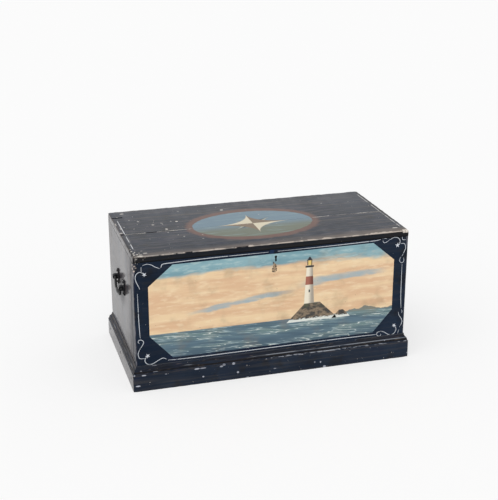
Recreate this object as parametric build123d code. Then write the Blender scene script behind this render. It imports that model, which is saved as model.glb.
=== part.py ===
from build123d import *
import os

# A sailor's ditty box: a dovetailed pine case on a moulded plinth, with a flat hinged lid,
# a till lock let into the front board and an iron drop handle on each end.
# Millimetres. X runs along the box, the front faces -Y, Z is up.
# The origin is on the floor, under the middle of the box.

# ---------------------------------------------------------------- driving dimensions

# Lid and case
LID_LENGTH = 450.0
LID_DEPTH = 227.0
LID_THICK = 9.4
BOX_HEIGHT = 222.5
LID_OVERHANG = 1.8          # lid past the case, at the front and the back
LID_GAP = 0.3               # between the case's rim and the closed lid
LID_SEAM_Y = -8.0           # joint between the lid's two planks
LEFT_STRIP = 7.7            # width of the strips that close the planks' end grain
RIGHT_STRIP = 6.3
LID_ARRIS = 1.2             # rounding of the lid's upper outer edges
SEAM = 0.3                  # shrinkage gap between neighbouring planks
BOARD_THICK = 12.7
BOTTOM_THICK = 9.5
BOTTOM_LIFT = 3.0           # the bottom hangs this far above the floor
BOTTOM_SEAM_Y = 14.0
CORNER_ARRIS = 0.8          # rounding of the case's four upright corners

# Dovetails, cut as tails on the front and back boards
TAIL_COUNT = 5
PIN_WIDTH = 9.0             # a pin's narrow outer width
TAIL_SLOPE = 1 / 7

# Plinth
PLINTH_HEIGHT = 41.0
PLINTH_THICK = 7.0
PLINTH_BOARD_TOP = 30.0     # top of the plain face, where the moulding starts
PLINTH_ARRIS = 1.4
QUIRK_STEP = 1.9            # how far the moulding stands back from the plain face
MOULD_TOP = 0.8             # thickness left at the moulding's top edge
MOULD_SWELL = 0.8           # how far the moulding's curve swells from its chord
MOULD_HOLLOW = 0.5          # and how far it hollows

# Cleats under the lid
CLEAT_WIDTH = 22.0
CLEAT_THICK = 8.0
CLEAT_INSET = 26.0          # from the case's inner end to the cleat
CLEAT_END_GAP = 10.0        # from the case's inner face to the cleat's end
CLEAT_BEVEL = 4.0
CLEAT_SCREW_EDGE = 12.0     # screws from the cleat's ends and from the lid's seam

# Hinges
HINGE_FROM_END = 75.0
LEAF_LENGTH = 38.0
LEAF_THICK = 1.2
LEAF_COVER = 8.4            # how far a leaf lies on the back board
LEAF_SCREWS = 3
LEAF_SCREW_EDGE = 5.0       # end screws from a leaf's ends
KNUCKLE_COUNT = 5
KNUCKLE_R = 2.3
KNUCKLE_GAP = 0.25
HINGE_PIN_R = 1.2
HINGE_PIN_FIT = 0.05
HINGE_RUNNING_GAP = 0.3
PIN_HEAD_R = 1.8
PIN_HEAD_THICK = 0.6

# Lock, let into the front board
KEYHOLE_X = 1.0
KEYHOLE_DROP = 13.2         # key pin below the case's rim
KEYHOLE_R = 2.1
KEY_SLOT = 2.6
KEY_REACH = 7.7             # key pin to the foot of the keyhole
KEY_BIT_GAP = 1.0           # key's turning circle to the lock box's floor
LOCK_PLATE_THICK = 1.4
LOCK_PLATE_EAR = 8.0        # back plate past the lock box, each side
LOCK_PLATE_LIP = 6.0        # and below it
LOCK_SCREW_UP = 4.2         # lower screws from the back plate's foot
LOCK_SCREW_DOWN = 6.3       # upper screws from its flange
LOCK_WALL = 0.8
LOCK_FIT = 0.15
LOCK_END_GAP = 2.0          # bolt to the lock box's ends, at either end of its travel
KEY_PIN_R = 1.2
BOLT_TRAVEL = 6.0
BOLT_HEIGHT = 5.6
BOLT_THICK = 2.4
BOLT_GAP = 0.3
BOLT_END = 2.0              # metal left behind the bolt's slot
TALON_WIDTH = 5.0
TALON_DEPTH = 2.4
STUD_R = 1.2
STUD_INSET = 9.0            # guide studs each side of the key pin
SPRING_ROOM = 1.6
SPRING_THICK = 0.5
SPRING_LENGTH = 13.0
LOOP_THICK = 2.2
LOOP_WALL = 1.2
LOOP_GAP = 0.7              # strike loop to the lock's walls
LOOP_X = 12.0               # strike loop from the key pin
SLOT_GAP = 0.6              # strike loop in the lock's slot
STRIKE_LENGTH = 30.0
STRIKE_WIDTH = 9.0
STRIKE_THICK = 1.2
STRIKE_SCREW_EDGE = 4.6     # screws from the strike's ends
ESCUTCHEON_WIDTH = 13.0
ESCUTCHEON_HEIGHT = 21.0
ESCUTCHEON_THICK = 0.6
ESCUTCHEON_PIN_R = 0.8
ESCUTCHEON_PIN_LENGTH = 2.5
ESCUTCHEON_PIN_EDGE = 1.6   # pins from the escutcheon's top and foot

# Handles
HANDLE_Z = 140.5            # bail pivots above the floor
EAR_Y = 27.5                # ears each side of the box's middle
EAR_WIDTH = 6.0
EAR_R = 4.0
PIVOT_OUT = 6.1             # bail pivots out from the end board
HANDLE_PLATE_THICK = 2.0
HANDLE_PLATE_BEVEL = 0.6
HANDLE_PLATE_R = 6.8
HANDLE_LOBE_R = 3.9
HANDLE_LOBE_Z = 9.6
BAIL_R = 2.0
BAIL_FIT = 0.08
BAIL_DROP = 15.0
BAIL_LEG_IN = 3.5           # bail's legs inside the ears
BAIL_BEND = 7.0
BAIL_TURN = 2.8
BAIL_END = 0.8              # bail's ends past the ears
GRIP_R = 3.0
GRIP_END_R = 1.9           # where the swell of the grip runs out in the rod
GRIP_LENGTH = 24.0

# Fasteners
NAIL_SIDE = 1.8
NAIL_HEAD = 3.2
NAIL_HEAD_THICK = 0.8
NAIL_LENGTH = 24.0
BRAD_LENGTH = 15.0
NAIL_PROUD = 0.2
BOTTOM_NAILS = 6            # along the front and the back
PLINTH_FRONT_NAILS = 5
PLINTH_END_NAILS = 3
SCREW_HEAD_R = 2.1
SCREW_R = 1.1
HINGE_SCREW_LENGTH = 13.0
LID_SCREW_LENGTH = 7.0
LOCK_SCREW_LENGTH = 8.0
CLEAT_SCREW_LENGTH = 14.0
HANDLE_SCREW_LENGTH = 11.0
ROUND_HEAD_R = 2.3
ROUND_HEAD_TOP_R = 1.3
ROUND_HEAD_HIGH = 1.1
SCREW_SLOT = 0.6
SCREW_FIT = 0.05
SINK_DEPTH = 9.0            # drilled this deep, through any plate or cleat
PAST = 1.0                  # how far a cutting or joining shape runs past the face it meets

# ---------------------------------------------------------------- places worked out from them

HALF_LENGTH = LID_LENGTH / 2
CASE_FRONT = -LID_DEPTH / 2 + LID_OVERHANG
CASE_BACK = -CASE_FRONT
INNER_X = HALF_LENGTH - BOARD_THICK
INNER_FRONT = CASE_FRONT + BOARD_THICK
INNER_BACK = CASE_BACK - BOARD_THICK
LID_UNDER = BOX_HEIGHT - LID_THICK
RIM = LID_UNDER - LID_GAP
FLOOR_TOP = BOTTOM_LIFT + BOTTOM_THICK
LEAF_IN = CASE_BACK - LEAF_COVER
HINGE_Y = LID_DEPTH / 2 + HINGE_RUNNING_GAP + KNUCKLE_R
HINGE_Z = RIM + LID_GAP / 2
HINGE_X = HALF_LENGTH - HINGE_FROM_END
KEY_Z = RIM - KEYHOLE_DROP
LOOP_HALF = BOLT_THICK / 2 + BOLT_GAP + LOOP_WALL
LOCK_BACK = INNER_FRONT - LOCK_PLATE_THICK
LOCK_MID_Y = LOCK_BACK - LOOP_GAP - LOOP_HALF
LOCK_FACE = LOCK_MID_Y - LOOP_HALF - LOOP_GAP - LOCK_WALL
LOCK_TOP = RIM - LOCK_PLATE_THICK
BOLT_TOP = LOCK_TOP - SPRING_ROOM
BOLT_FOOT = BOLT_TOP - BOLT_HEIGHT
STRIKE_X = KEYHOLE_X + LOOP_X
BOLT_NOSE_X = STRIKE_X - LOOP_THICK / 2 - BOLT_GAP
STUD_X = KEYHOLE_X - STUD_INSET
SLOT_R = STUD_R + BOLT_GAP
BOLT_TAIL_X = STUD_X - BOLT_TRAVEL - SLOT_R - BOLT_END
LOCK_X0 = BOLT_TAIL_X - LOCK_END_GAP - LOCK_WALL
LOCK_X1 = BOLT_NOSE_X + BOLT_TRAVEL + LOCK_END_GAP + LOCK_WALL
LOCK_FOOT = KEY_Z - KEY_REACH - KEY_BIT_GAP - LOCK_WALL
PLATE_X0 = LOCK_X0 - LOCK_PLATE_EAR
PLATE_X1 = LOCK_X1 + LOCK_PLATE_EAR
PLATE_FOOT = LOCK_FOOT - LOCK_PLATE_LIP

os.makedirs("parts", exist_ok=True)


def save(shape, node):
    """Write one sub-part to its own file."""
    export_step(shape, f"parts/{node}.step")


# ---------------------------------------------------------------- shapes that repeat


def block(x0, x1, y0, y1, z0, z1):
    """A rectangular solid between two opposite corners."""
    middle = Pos((x0 + x1) / 2, (y0 + y1) / 2, (z0 + z1) / 2)
    return middle * Box(x1 - x0, y1 - y0, z1 - z0)


def rod_x(x0, x1, y, z, radius):
    """A round bar that runs along X."""
    return Pos((x0 + x1) / 2, y, z) * Rot(0, 90, 0) * Cylinder(radius, x1 - x0)


def rod_y(x, y0, y1, z, radius):
    """A round bar that runs along Y."""
    return Pos(x, (y0 + y1) / 2, z) * Rot(90, 0, 0) * Cylinder(radius, y1 - y0)


def facing(at, outward):
    """A plane at a point, whose Z axis is the outward direction."""
    return Plane(origin=at, z_dir=outward)


def spread(first, last, count):
    """Evenly spaced numbers from first to last."""
    return [first + (last - first) * i / (count - 1) for i in range(count)]


def sunk_cone(at, outward, fit):
    """The room that a countersunk screw's head and shank take in a plate."""
    head = SCREW_HEAD_R + fit
    shank = SCREW_R + fit
    deep = -SINK_DEPTH
    outline = Polyline((0, 0), (head, 0), (shank, shank - head), (shank, deep), (0, deep), close=True)
    return facing(at, outward) * revolve(Plane.XZ * make_face(outline), Axis.Z)


def wood_screw(at, outward, length):
    """A countersunk slotted wood screw, its head level with the point it is given."""
    head = ((0, 0), (SCREW_HEAD_R, 0), (SCREW_R, SCREW_R - SCREW_HEAD_R))
    outline = Polyline(*head, (SCREW_R, -length), (0, -length), close=True)
    body = revolve(Plane.XZ * make_face(outline), Axis.Z)
    slot = Box(2 * (SCREW_HEAD_R + PAST), SCREW_SLOT, SCREW_SLOT)
    return facing(at, outward) * (body - slot)


def round_screw(at, outward, length):
    """A raised-head slotted wood screw that stands on the point it is given."""
    head = ((0, ROUND_HEAD_HIGH), (ROUND_HEAD_TOP_R, ROUND_HEAD_HIGH), (ROUND_HEAD_R, 0))
    outline = Polyline(*head, (SCREW_R, 0), (SCREW_R, -length), (0, -length), close=True)
    body = revolve(Plane.XZ * make_face(outline), Axis.Z)
    slot = Pos(0, 0, ROUND_HEAD_HIGH) * Box(2 * (ROUND_HEAD_R + PAST), SCREW_SLOT, SCREW_SLOT)
    return facing(at, outward) * (body - slot)


def cut_nail(at, outward, length):
    """A square cut nail whose head stands a little proud of the wood."""
    head = Pos(0, 0, NAIL_PROUD - NAIL_HEAD_THICK / 2) * Box(NAIL_HEAD, NAIL_HEAD, NAIL_HEAD_THICK)
    shank = Pos(0, 0, -length / 2) * Box(NAIL_SIDE, NAIL_SIDE, length)
    return facing(at, outward) * (head + shank)


# ---------------------------------------------------------------- case


def tails(board_y0, board_y1, side):
    """The tails at one end of the front or back board, wider at the tip than at the root."""
    pitch = (RIM - FLOOR_TOP) / TAIL_COUNT
    tip = pitch - PIN_WIDTH
    root = tip - 2 * TAIL_SLOPE * BOARD_THICK
    found = []
    for i in range(TAIL_COUNT):
        z = FLOOR_TOP + (i + 0.5) * pitch
        outline = Polyline(
            (side * (INNER_X - PAST), z - root / 2),
            (side * INNER_X, z - root / 2),
            (side * HALF_LENGTH, z - tip / 2),
            (side * HALF_LENGTH, z + tip / 2),
            (side * INNER_X, z + root / 2),
            (side * (INNER_X - PAST), z + root / 2),
            close=True,
        )
        face = Plane((0, board_y1, 0), x_dir=(1, 0, 0), z_dir=(0, -1, 0)) * make_face(outline)
        found.append(extrude(face, board_y1 - board_y0))
    return found


def rounded_case():
    """The case's outer block, its four upright corners eased."""
    outer = block(-HALF_LENGTH, HALF_LENGTH, CASE_FRONT, CASE_BACK, FLOOR_TOP, RIM)
    return fillet(outer.edges().filter_by(Axis.Z), CORNER_ARRIS)


def long_board(y0, y1):
    """The front or back board before its lock and hinges are let in."""
    board = block(-INNER_X, INNER_X, y0, y1, FLOOR_TOP, RIM)
    for tail in tails(y0, y1, -1) + tails(y0, y1, 1):
        board += tail
    return board & rounded_case()


def end_board(side):
    """An end board, with sockets for the tails of the front and back boards."""
    x0, x1 = sorted((side * INNER_X, side * HALF_LENGTH))
    board = block(x0, x1, CASE_FRONT, CASE_BACK, FLOOR_TOP, RIM)
    for tail in tails(CASE_FRONT, INNER_FRONT, side) + tails(INNER_BACK, CASE_BACK, side):
        board -= tail
    return board & rounded_case()


def keyhole(y0, y1):
    """The keyhole's round top and the slot under it, cut between two depths."""
    eye = rod_y(KEYHOLE_X, y0, y1, KEY_Z, KEYHOLE_R)
    slot_left = KEYHOLE_X - KEY_SLOT / 2
    slot = block(slot_left, slot_left + KEY_SLOT, y0, y1, KEY_Z - KEY_REACH, KEY_Z)
    return eye + slot


def lock_recess():
    """The room for the lock in the front board: its box, its back plate and its top flange."""
    plate_x = (PLATE_X0 - LOCK_FIT, PLATE_X1 + LOCK_FIT)
    face = LOCK_FACE - LOCK_FIT
    box = block(LOCK_X0 - LOCK_FIT, LOCK_X1 + LOCK_FIT, face, INNER_FRONT, LOCK_FOOT - LOCK_FIT, RIM)
    plate = block(*plate_x, LOCK_BACK, INNER_FRONT, PLATE_FOOT - LOCK_FIT, RIM)
    flange = block(*plate_x, face, INNER_FRONT, LOCK_TOP, RIM)
    return box + plate + flange


def leaf_mortise(x, z0, z1, back):
    """The room for one hinge leaf in the edge that it is screwed to."""
    return block(x - LEAF_LENGTH / 2, x + LEAF_LENGTH / 2, LEAF_IN, back, z0, z1)


front_board = long_board(CASE_FRONT, INNER_FRONT) - lock_recess() - keyhole(CASE_FRONT, INNER_FRONT)
back_board = long_board(INNER_BACK, CASE_BACK)
for x in (-HINGE_X, HINGE_X):
    back_board -= leaf_mortise(x, RIM - LEAF_THICK, RIM, CASE_BACK)
save(front_board, "front_board")
save(back_board, "back_board")
save(end_board(-1), "left_end_board")
save(end_board(1), "right_end_board")
seam_front = BOTTOM_SEAM_Y - SEAM / 2
seam_back = BOTTOM_SEAM_Y + SEAM / 2
save(block(-HALF_LENGTH, HALF_LENGTH, CASE_FRONT, seam_front, BOTTOM_LIFT, FLOOR_TOP), "bottom_front_plank")
save(block(-HALF_LENGTH, HALF_LENGTH, seam_back, CASE_BACK, BOTTOM_LIFT, FLOOR_TOP), "bottom_rear_plank")


# ---------------------------------------------------------------- plinth


def plinth_profile():
    """The plinth's section: out from the case, up from the floor, with an ogee above a quirk."""
    shelf = PLINTH_THICK - QUIRK_STEP
    middle = Vector((shelf + MOULD_TOP) / 2, (PLINTH_BOARD_TOP + PLINTH_HEIGHT) / 2)
    low = Vector(shelf, PLINTH_BOARD_TOP + MOULD_SWELL)
    high = Vector(MOULD_TOP, PLINTH_HEIGHT)
    across = Vector(high.Y - low.Y, low.X - high.X).normalized()
    swell = (low + middle) * 0.5 + across * MOULD_SWELL
    hollow = (middle + high) * 0.5 - across * MOULD_HOLLOW
    foot = Polyline((MOULD_TOP, PLINTH_HEIGHT), (0, PLINTH_HEIGHT), (0, 0), (PLINTH_THICK, 0))
    face = Line((PLINTH_THICK, 0), (PLINTH_THICK, PLINTH_BOARD_TOP - PLINTH_ARRIS))
    arris = RadiusArc(
        (PLINTH_THICK, PLINTH_BOARD_TOP - PLINTH_ARRIS),
        (PLINTH_THICK - PLINTH_ARRIS, PLINTH_BOARD_TOP),
        PLINTH_ARRIS,
    )
    step = Polyline((PLINTH_THICK - PLINTH_ARRIS, PLINTH_BOARD_TOP), (shelf, PLINTH_BOARD_TOP), low)
    ovolo = ThreePointArc(low, swell, middle)
    cavetto = ThreePointArc(middle, hollow, high)
    return make_face(foot + face + arris + step + ovolo + cavetto)


def plinth_length(half, reach):
    """One side of the plinth, standing at Y = -reach, mitred at both ends."""
    outer = half + PLINTH_THICK
    section = Plane((outer, -reach, 0), x_dir=(0, -1, 0), z_dir=(-1, 0, 0)) * plinth_profile()
    strip = extrude(section, 2 * outer)
    front = -reach - PLINTH_THICK
    corners = ((-half, -reach), (-outer, front), (outer, front), (half, -reach))
    return strip & extrude(make_face(Polyline(*corners, close=True)), PLINTH_HEIGHT)


long_side = plinth_length(HALF_LENGTH, CASE_BACK)
short_side = plinth_length(CASE_BACK, HALF_LENGTH)
save(long_side, "plinth_front")
save(Rot(0, 0, 180) * long_side, "plinth_back")
save(Rot(0, 0, -90) * short_side, "plinth_left")
save(Rot(0, 0, 90) * short_side, "plinth_right")


# ---------------------------------------------------------------- lid


def strike_mortise():
    """The room for the strike's plate in the lid's underside."""
    x0 = STRIKE_X - STRIKE_LENGTH / 2
    y0 = LOCK_MID_Y - STRIKE_WIDTH / 2
    return block(x0, x0 + STRIKE_LENGTH, y0, y0 + STRIKE_WIDTH, LID_UNDER, LID_UNDER + STRIKE_THICK)


def rounded_lid():
    """The whole lid as one slab with its upper outer edges rounded, to be sawn into planks."""
    slab = block(-HALF_LENGTH, HALF_LENGTH, -LID_DEPTH / 2, LID_DEPTH / 2, LID_UNDER, BOX_HEIGHT)
    edges = slab.faces().sort_by(Axis.Z)[-1].edges() + slab.edges().filter_by(Axis.Z)
    return fillet(edges, LID_ARRIS)


PLANK_LEFT = -HALF_LENGTH + LEFT_STRIP
PLANK_RIGHT = HALF_LENGTH - RIGHT_STRIP
lid_slab = rounded_lid()


def lid_board(x0, x1, y0, y1):
    """The part of the lid's slab that one plank or strip takes up."""
    return lid_slab & block(x0, x1, y0, y1, LID_UNDER, BOX_HEIGHT)


lid_front = lid_board(PLANK_LEFT, PLANK_RIGHT, -LID_DEPTH, LID_SEAM_Y - SEAM / 2)
lid_rear = lid_board(PLANK_LEFT, PLANK_RIGHT, LID_SEAM_Y + SEAM / 2, LID_DEPTH)
left_strip = lid_board(-LID_LENGTH, PLANK_LEFT, -LID_DEPTH, LID_DEPTH)
right_strip = lid_board(PLANK_RIGHT, LID_LENGTH, -LID_DEPTH, LID_DEPTH)
for x in (-HINGE_X, HINGE_X):
    lid_rear -= leaf_mortise(x, LID_UNDER, LID_UNDER + LEAF_THICK, LID_DEPTH / 2)
save(lid_front - strike_mortise(), "lid_front_plank")
save(lid_rear, "lid_rear_plank")
save(left_strip, "lid_left_end_strip")
save(right_strip, "lid_right_end_strip")

CLEAT_FRONT = INNER_FRONT + CLEAT_END_GAP
CLEAT_BACK = INNER_BACK - CLEAT_END_GAP
CLEAT_OUT = INNER_X - CLEAT_INSET
CLEAT_X = CLEAT_OUT - CLEAT_WIDTH / 2
CLEAT_FOOT = LID_UNDER - CLEAT_THICK


def cleat_screw_points(side):
    """The four screws of one cleat, two into each plank of the lid."""
    planks = ((CLEAT_FRONT, LID_SEAM_Y), (LID_SEAM_Y, CLEAT_BACK))
    rows = [y for low, high in planks for y in (low + CLEAT_SCREW_EDGE, high - CLEAT_SCREW_EDGE)]
    return [(side * CLEAT_X, y, CLEAT_FOOT) for y in rows]


def cleat(side):
    """A cleat across the lid's underside that holds the two planks together."""
    x0, x1 = sorted((side * CLEAT_OUT, side * (CLEAT_OUT - CLEAT_WIDTH)))
    bar = block(x0, x1, CLEAT_FRONT, CLEAT_BACK, CLEAT_FOOT, LID_UNDER)
    bar = chamfer(bar.faces().sort_by(Axis.Z)[0].edges().filter_by(Axis.X), CLEAT_BEVEL)
    for at in cleat_screw_points(side):
        bar -= sunk_cone(at, (0, 0, -1), SCREW_FIT)
    return bar


save(cleat(-1), "lid_left_cleat")
save(cleat(1), "lid_right_cleat")
cleat_points = cleat_screw_points(-1) + cleat_screw_points(1)
cleat_screws = [wood_screw(at, (0, 0, -1), CLEAT_SCREW_LENGTH) for at in cleat_points]
save(Compound(children=cleat_screws), "cleat_screws")


# ---------------------------------------------------------------- hinges


def knuckle_span(x, i):
    """Where the knuckle with number i starts and ends along a hinge centred at x."""
    pitch = LEAF_LENGTH / KNUCKLE_COUNT
    start = x - LEAF_LENGTH / 2 + i * pitch
    return start + KNUCKLE_GAP / 2, start + pitch - KNUCKLE_GAP / 2


def hinge_leaf(x, z0, first, outward):
    """One leaf: a plate with every second knuckle, bored for the pin and drilled for screws."""
    x0 = x - LEAF_LENGTH / 2
    leaf = block(x0, x0 + LEAF_LENGTH, LEAF_IN, HINGE_Y, z0, z0 + LEAF_THICK)
    for i in range(KNUCKLE_COUNT):
        start, end = knuckle_span(x, i)
        if i % 2 == first:
            leaf += rod_x(start, end, HINGE_Y, HINGE_Z, KNUCKLE_R)
        else:
            room = KNUCKLE_R + HINGE_RUNNING_GAP
            leaf -= rod_x(start - KNUCKLE_GAP, end + KNUCKLE_GAP, HINGE_Y, HINGE_Z, room)
    leaf -= rod_x(x - LEAF_LENGTH, x + LEAF_LENGTH, HINGE_Y, HINGE_Z, HINGE_PIN_R + HINGE_PIN_FIT)
    open_face = z0 + LEAF_THICK if outward > 0 else z0
    for at in leaf_screw_points(x, open_face):
        leaf -= sunk_cone(at, (0, 0, outward), SCREW_FIT)
    return leaf


def leaf_screw_points(x, z):
    """The screws of one leaf, in a row along the middle of the wood that it covers."""
    reach = LEAF_LENGTH / 2 - LEAF_SCREW_EDGE
    y = (LEAF_IN + CASE_BACK) / 2
    return [(px, y, z) for px in spread(x - reach, x + reach, LEAF_SCREWS)]


def hinge_pin(x):
    """The pin of one hinge, with a small head at each end."""
    end = LEAF_LENGTH / 2 + HINGE_PIN_FIT
    pin = rod_x(x - end, x + end, HINGE_Y, HINGE_Z, HINGE_PIN_R)
    pin += rod_x(x - end - PIN_HEAD_THICK, x - end, HINGE_Y, HINGE_Z, PIN_HEAD_R)
    pin += rod_x(x + end, x + end + PIN_HEAD_THICK, HINGE_Y, HINGE_Z, PIN_HEAD_R)
    return pin


case_screws = []
lid_screws = []
for name, x in (("left", -HINGE_X), ("right", HINGE_X)):
    save(hinge_leaf(x, RIM - LEAF_THICK, 0, 1), f"{name}_hinge_case_leaf")
    save(hinge_leaf(x, LID_UNDER, 1, -1), f"{name}_hinge_lid_leaf")
    save(hinge_pin(x), f"{name}_hinge_pin")
    case_screws += [wood_screw(at, (0, 0, 1), HINGE_SCREW_LENGTH) for at in leaf_screw_points(x, RIM)]
    lid_screws += [wood_screw(at, (0, 0, -1), LID_SCREW_LENGTH) for at in leaf_screw_points(x, LID_UNDER)]
save(Compound(children=case_screws), "hinge_case_screws")
save(Compound(children=lid_screws), "hinge_lid_screws")


# ---------------------------------------------------------------- lock


def lock_posts():
    """Where the works stand on the back plate: the bolt's two posts and the key pin, with their radii."""
    slot_post = (STUD_X, (BOLT_TOP + BOLT_FOOT) / 2, STUD_R)
    nose_post = (KEYHOLE_X + STUD_INSET, BOLT_FOOT - BOLT_GAP - STUD_R, STUD_R)
    return [slot_post, nose_post, (KEYHOLE_X, KEY_Z, KEY_PIN_R)]


def lock_screw_points():
    """The four corners where the lock's back plate is screwed to the board."""
    columns = (PLATE_X0 + LOCK_PLATE_EAR / 2, PLATE_X1 - LOCK_PLATE_EAR / 2)
    rows = (PLATE_FOOT + LOCK_SCREW_UP, LOCK_TOP - LOCK_SCREW_DOWN)
    return [(x, INNER_FRONT, z) for x in columns for z in rows]


def lock_plate():
    """The back plate, with the flange that lies in the board's top edge and its slot."""
    plate = block(PLATE_X0, PLATE_X1, LOCK_BACK, INNER_FRONT, PLATE_FOOT, RIM)
    plate += block(PLATE_X0, PLATE_X1, LOCK_FACE, INNER_FRONT, LOCK_TOP, RIM)
    half_x = LOOP_THICK / 2 + SLOT_GAP
    half_y = LOOP_HALF + SLOT_GAP
    slot = Pos(STRIKE_X, LOCK_MID_Y, RIM) * Box(2 * half_x, 2 * half_y, 2 * (LOCK_PLATE_THICK + PAST))
    plate -= slot
    for at in lock_screw_points():
        plate -= sunk_cone(at, (0, 1, 0), SCREW_FIT)
    for x, z, radius in lock_posts():
        plate -= rod_y(x, LOCK_BACK, INNER_FRONT, z, radius)
    return plate


def lock_cap():
    """The shallow box that covers the works, open towards the back plate, with its keyhole."""
    wall = LOCK_WALL
    shell = block(LOCK_X0, LOCK_X1, LOCK_FACE, LOCK_BACK, LOCK_FOOT, LOCK_TOP)
    room = block(LOCK_X0 + wall, LOCK_X1 - wall, LOCK_FACE + wall, LOCK_BACK, LOCK_FOOT + wall, LOCK_TOP)
    return shell - room - keyhole(LOCK_FACE, LOCK_BACK)


def bolt():
    """The sliding bolt, drawn back: a bar with a talon for the key and a slot for its post."""
    y0 = LOCK_MID_Y - BOLT_THICK / 2
    y1 = LOCK_MID_Y + BOLT_THICK / 2
    bar = block(BOLT_TAIL_X, BOLT_NOSE_X, y0, y1, BOLT_FOOT, BOLT_TOP)
    talon_x = KEYHOLE_X - (BOLT_TRAVEL + TALON_WIDTH) / 2
    bar -= block(talon_x, talon_x + TALON_WIDTH, y0, y1, BOLT_FOOT, BOLT_FOOT + TALON_DEPTH)
    slot_z = (BOLT_TOP + BOLT_FOOT) / 2
    bar -= block(STUD_X - BOLT_TRAVEL, STUD_X, y0, y1, slot_z - SLOT_R, slot_z + SLOT_R)
    for x in (STUD_X - BOLT_TRAVEL, STUD_X):
        bar -= rod_y(x, y0, y1, slot_z, SLOT_R)
    return bar


def bolt_spring():
    """The bow of spring steel on the bolt's back, clear of the loop when the bolt is shot."""
    x1 = BOLT_NOSE_X - BOLT_TRAVEL
    x0 = x1 - SPRING_LENGTH
    middle = (x0 + x1) / 2
    crown = LOCK_TOP - BOLT_GAP
    low = ThreePointArc((x0, BOLT_TOP), (middle, crown - SPRING_THICK), (x1, BOLT_TOP))
    high = ThreePointArc((x0, BOLT_TOP + SPRING_THICK), (middle, crown), (x1, BOLT_TOP + SPRING_THICK))
    ends = Line(low @ 0, high @ 0) + Line(low @ 1, high @ 1)
    half = BOLT_THICK / 2 - BOLT_GAP
    bow = Plane((0, LOCK_MID_Y + half, 0), x_dir=(1, 0, 0), z_dir=(0, -1, 0)) * make_face(low + high + ends)
    return extrude(bow, 2 * half)


def lock_post(x, z, radius):
    """A post riveted through the back plate, reaching just short of the cap."""
    return rod_y(x, LOCK_FACE + LOCK_WALL + BOLT_GAP, INNER_FRONT, z, radius)


posts = [lock_post(*place) for place in lock_posts()]
save(lock_plate(), "lock_plate")
save(lock_cap(), "lock_cap")
save(bolt(), "lock_bolt")
save(bolt_spring(), "lock_bolt_spring")
save(Compound(children=posts[:2]), "lock_guide_posts")
save(posts[2], "lock_key_pin")
lock_screws = [wood_screw(at, (0, 1, 0), LOCK_SCREW_LENGTH) for at in lock_screw_points()]
save(Compound(children=lock_screws), "lock_screws")


def strike_screw_points():
    """The two screws of the strike, one near each end of its plate."""
    reach = STRIKE_LENGTH / 2 - STRIKE_SCREW_EDGE
    return [(STRIKE_X + s * reach, LOCK_MID_Y, LID_UNDER) for s in (-1, 1)]


def lid_strike():
    """The strike: a plate in the lid's underside with a loop that the bolt shoots through."""
    x0 = STRIKE_X - LOOP_THICK / 2
    x1 = STRIKE_X + LOOP_THICK / 2
    foot = BOLT_FOOT - BOLT_GAP
    front = LOCK_MID_Y - LOOP_HALF
    back = LOCK_MID_Y + LOOP_HALF
    loop = block(x0, x1, front, back, foot - LOOP_WALL, LID_UNDER + STRIKE_THICK)
    loop = fillet(loop.edges().filter_by(Axis.X).sort_by(Axis.Z)[:2], LOOP_WALL)
    loop -= block(x0, x1, front + LOOP_WALL, back - LOOP_WALL, foot, BOLT_TOP + BOLT_GAP)
    plate = strike_mortise() + loop
    for at in strike_screw_points():
        plate -= sunk_cone(at, (0, 0, -1), SCREW_FIT)
    return plate


save(lid_strike(), "lid_strike")
strike_screws = [wood_screw(at, (0, 0, -1), LID_SCREW_LENGTH) for at in strike_screw_points()]
save(Compound(children=strike_screws), "strike_screws")

ESCUTCHEON_Z = KEY_Z - (KEY_REACH - KEYHOLE_R) / 2


def escutcheon_pin_places():
    """How high the escutcheon's two pins stand: above and below the keyhole."""
    reach = ESCUTCHEON_HEIGHT / 2 - ESCUTCHEON_PIN_EDGE
    return [ESCUTCHEON_Z - reach, ESCUTCHEON_Z + reach]


def escutcheon():
    """A thin oval plate round the keyhole."""
    front = Plane((KEYHOLE_X, CASE_FRONT, ESCUTCHEON_Z), x_dir=(1, 0, 0), z_dir=(0, -1, 0))
    oval = front * Ellipse(ESCUTCHEON_WIDTH / 2, ESCUTCHEON_HEIGHT / 2)
    plate = extrude(oval, ESCUTCHEON_THICK) - keyhole(CASE_FRONT - PAST, CASE_FRONT)
    for z in escutcheon_pin_places():
        plate -= rod_y(KEYHOLE_X, CASE_FRONT - PAST, CASE_FRONT, z, ESCUTCHEON_PIN_R)
    return plate


save(escutcheon(), "keyhole_escutcheon")
pin_y0 = CASE_FRONT - ESCUTCHEON_THICK - NAIL_PROUD
pin_y1 = CASE_FRONT + ESCUTCHEON_PIN_LENGTH
pins = [rod_y(KEYHOLE_X, pin_y0, pin_y1, z, ESCUTCHEON_PIN_R) for z in escutcheon_pin_places()]
save(Compound(children=pins), "escutcheon_pins")


# ---------------------------------------------------------------- handles, built for the left end


def handle_screw_points(y):
    """The two screws of one handle plate, in its upper and lower lobes."""
    x = -HALF_LENGTH - HANDLE_PLATE_THICK
    return [(x, y, HANDLE_Z + s * HANDLE_LOBE_Z) for s in (-1, 1)]


def handle_ear(y):
    """A round-nosed ear across the box's end, bored for the bail."""
    pivot_x = -HALF_LENGTH - PIVOT_OUT
    foot = (pivot_x, -EAR_R)
    head = (pivot_x, EAR_R)
    nose = ThreePointArc(foot, (pivot_x - EAR_R, 0), head)
    sides = Polyline(head, (-HALF_LENGTH, EAR_R), (-HALF_LENGTH, -EAR_R), foot)
    side = Plane((0, y + EAR_WIDTH / 2, HANDLE_Z), x_dir=(1, 0, 0), z_dir=(0, -1, 0))
    bore = Pos(pivot_x, 0) * Circle(BAIL_R + BAIL_FIT)
    return extrude(side * (make_face(nose + sides) - bore), EAR_WIDTH)


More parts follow.
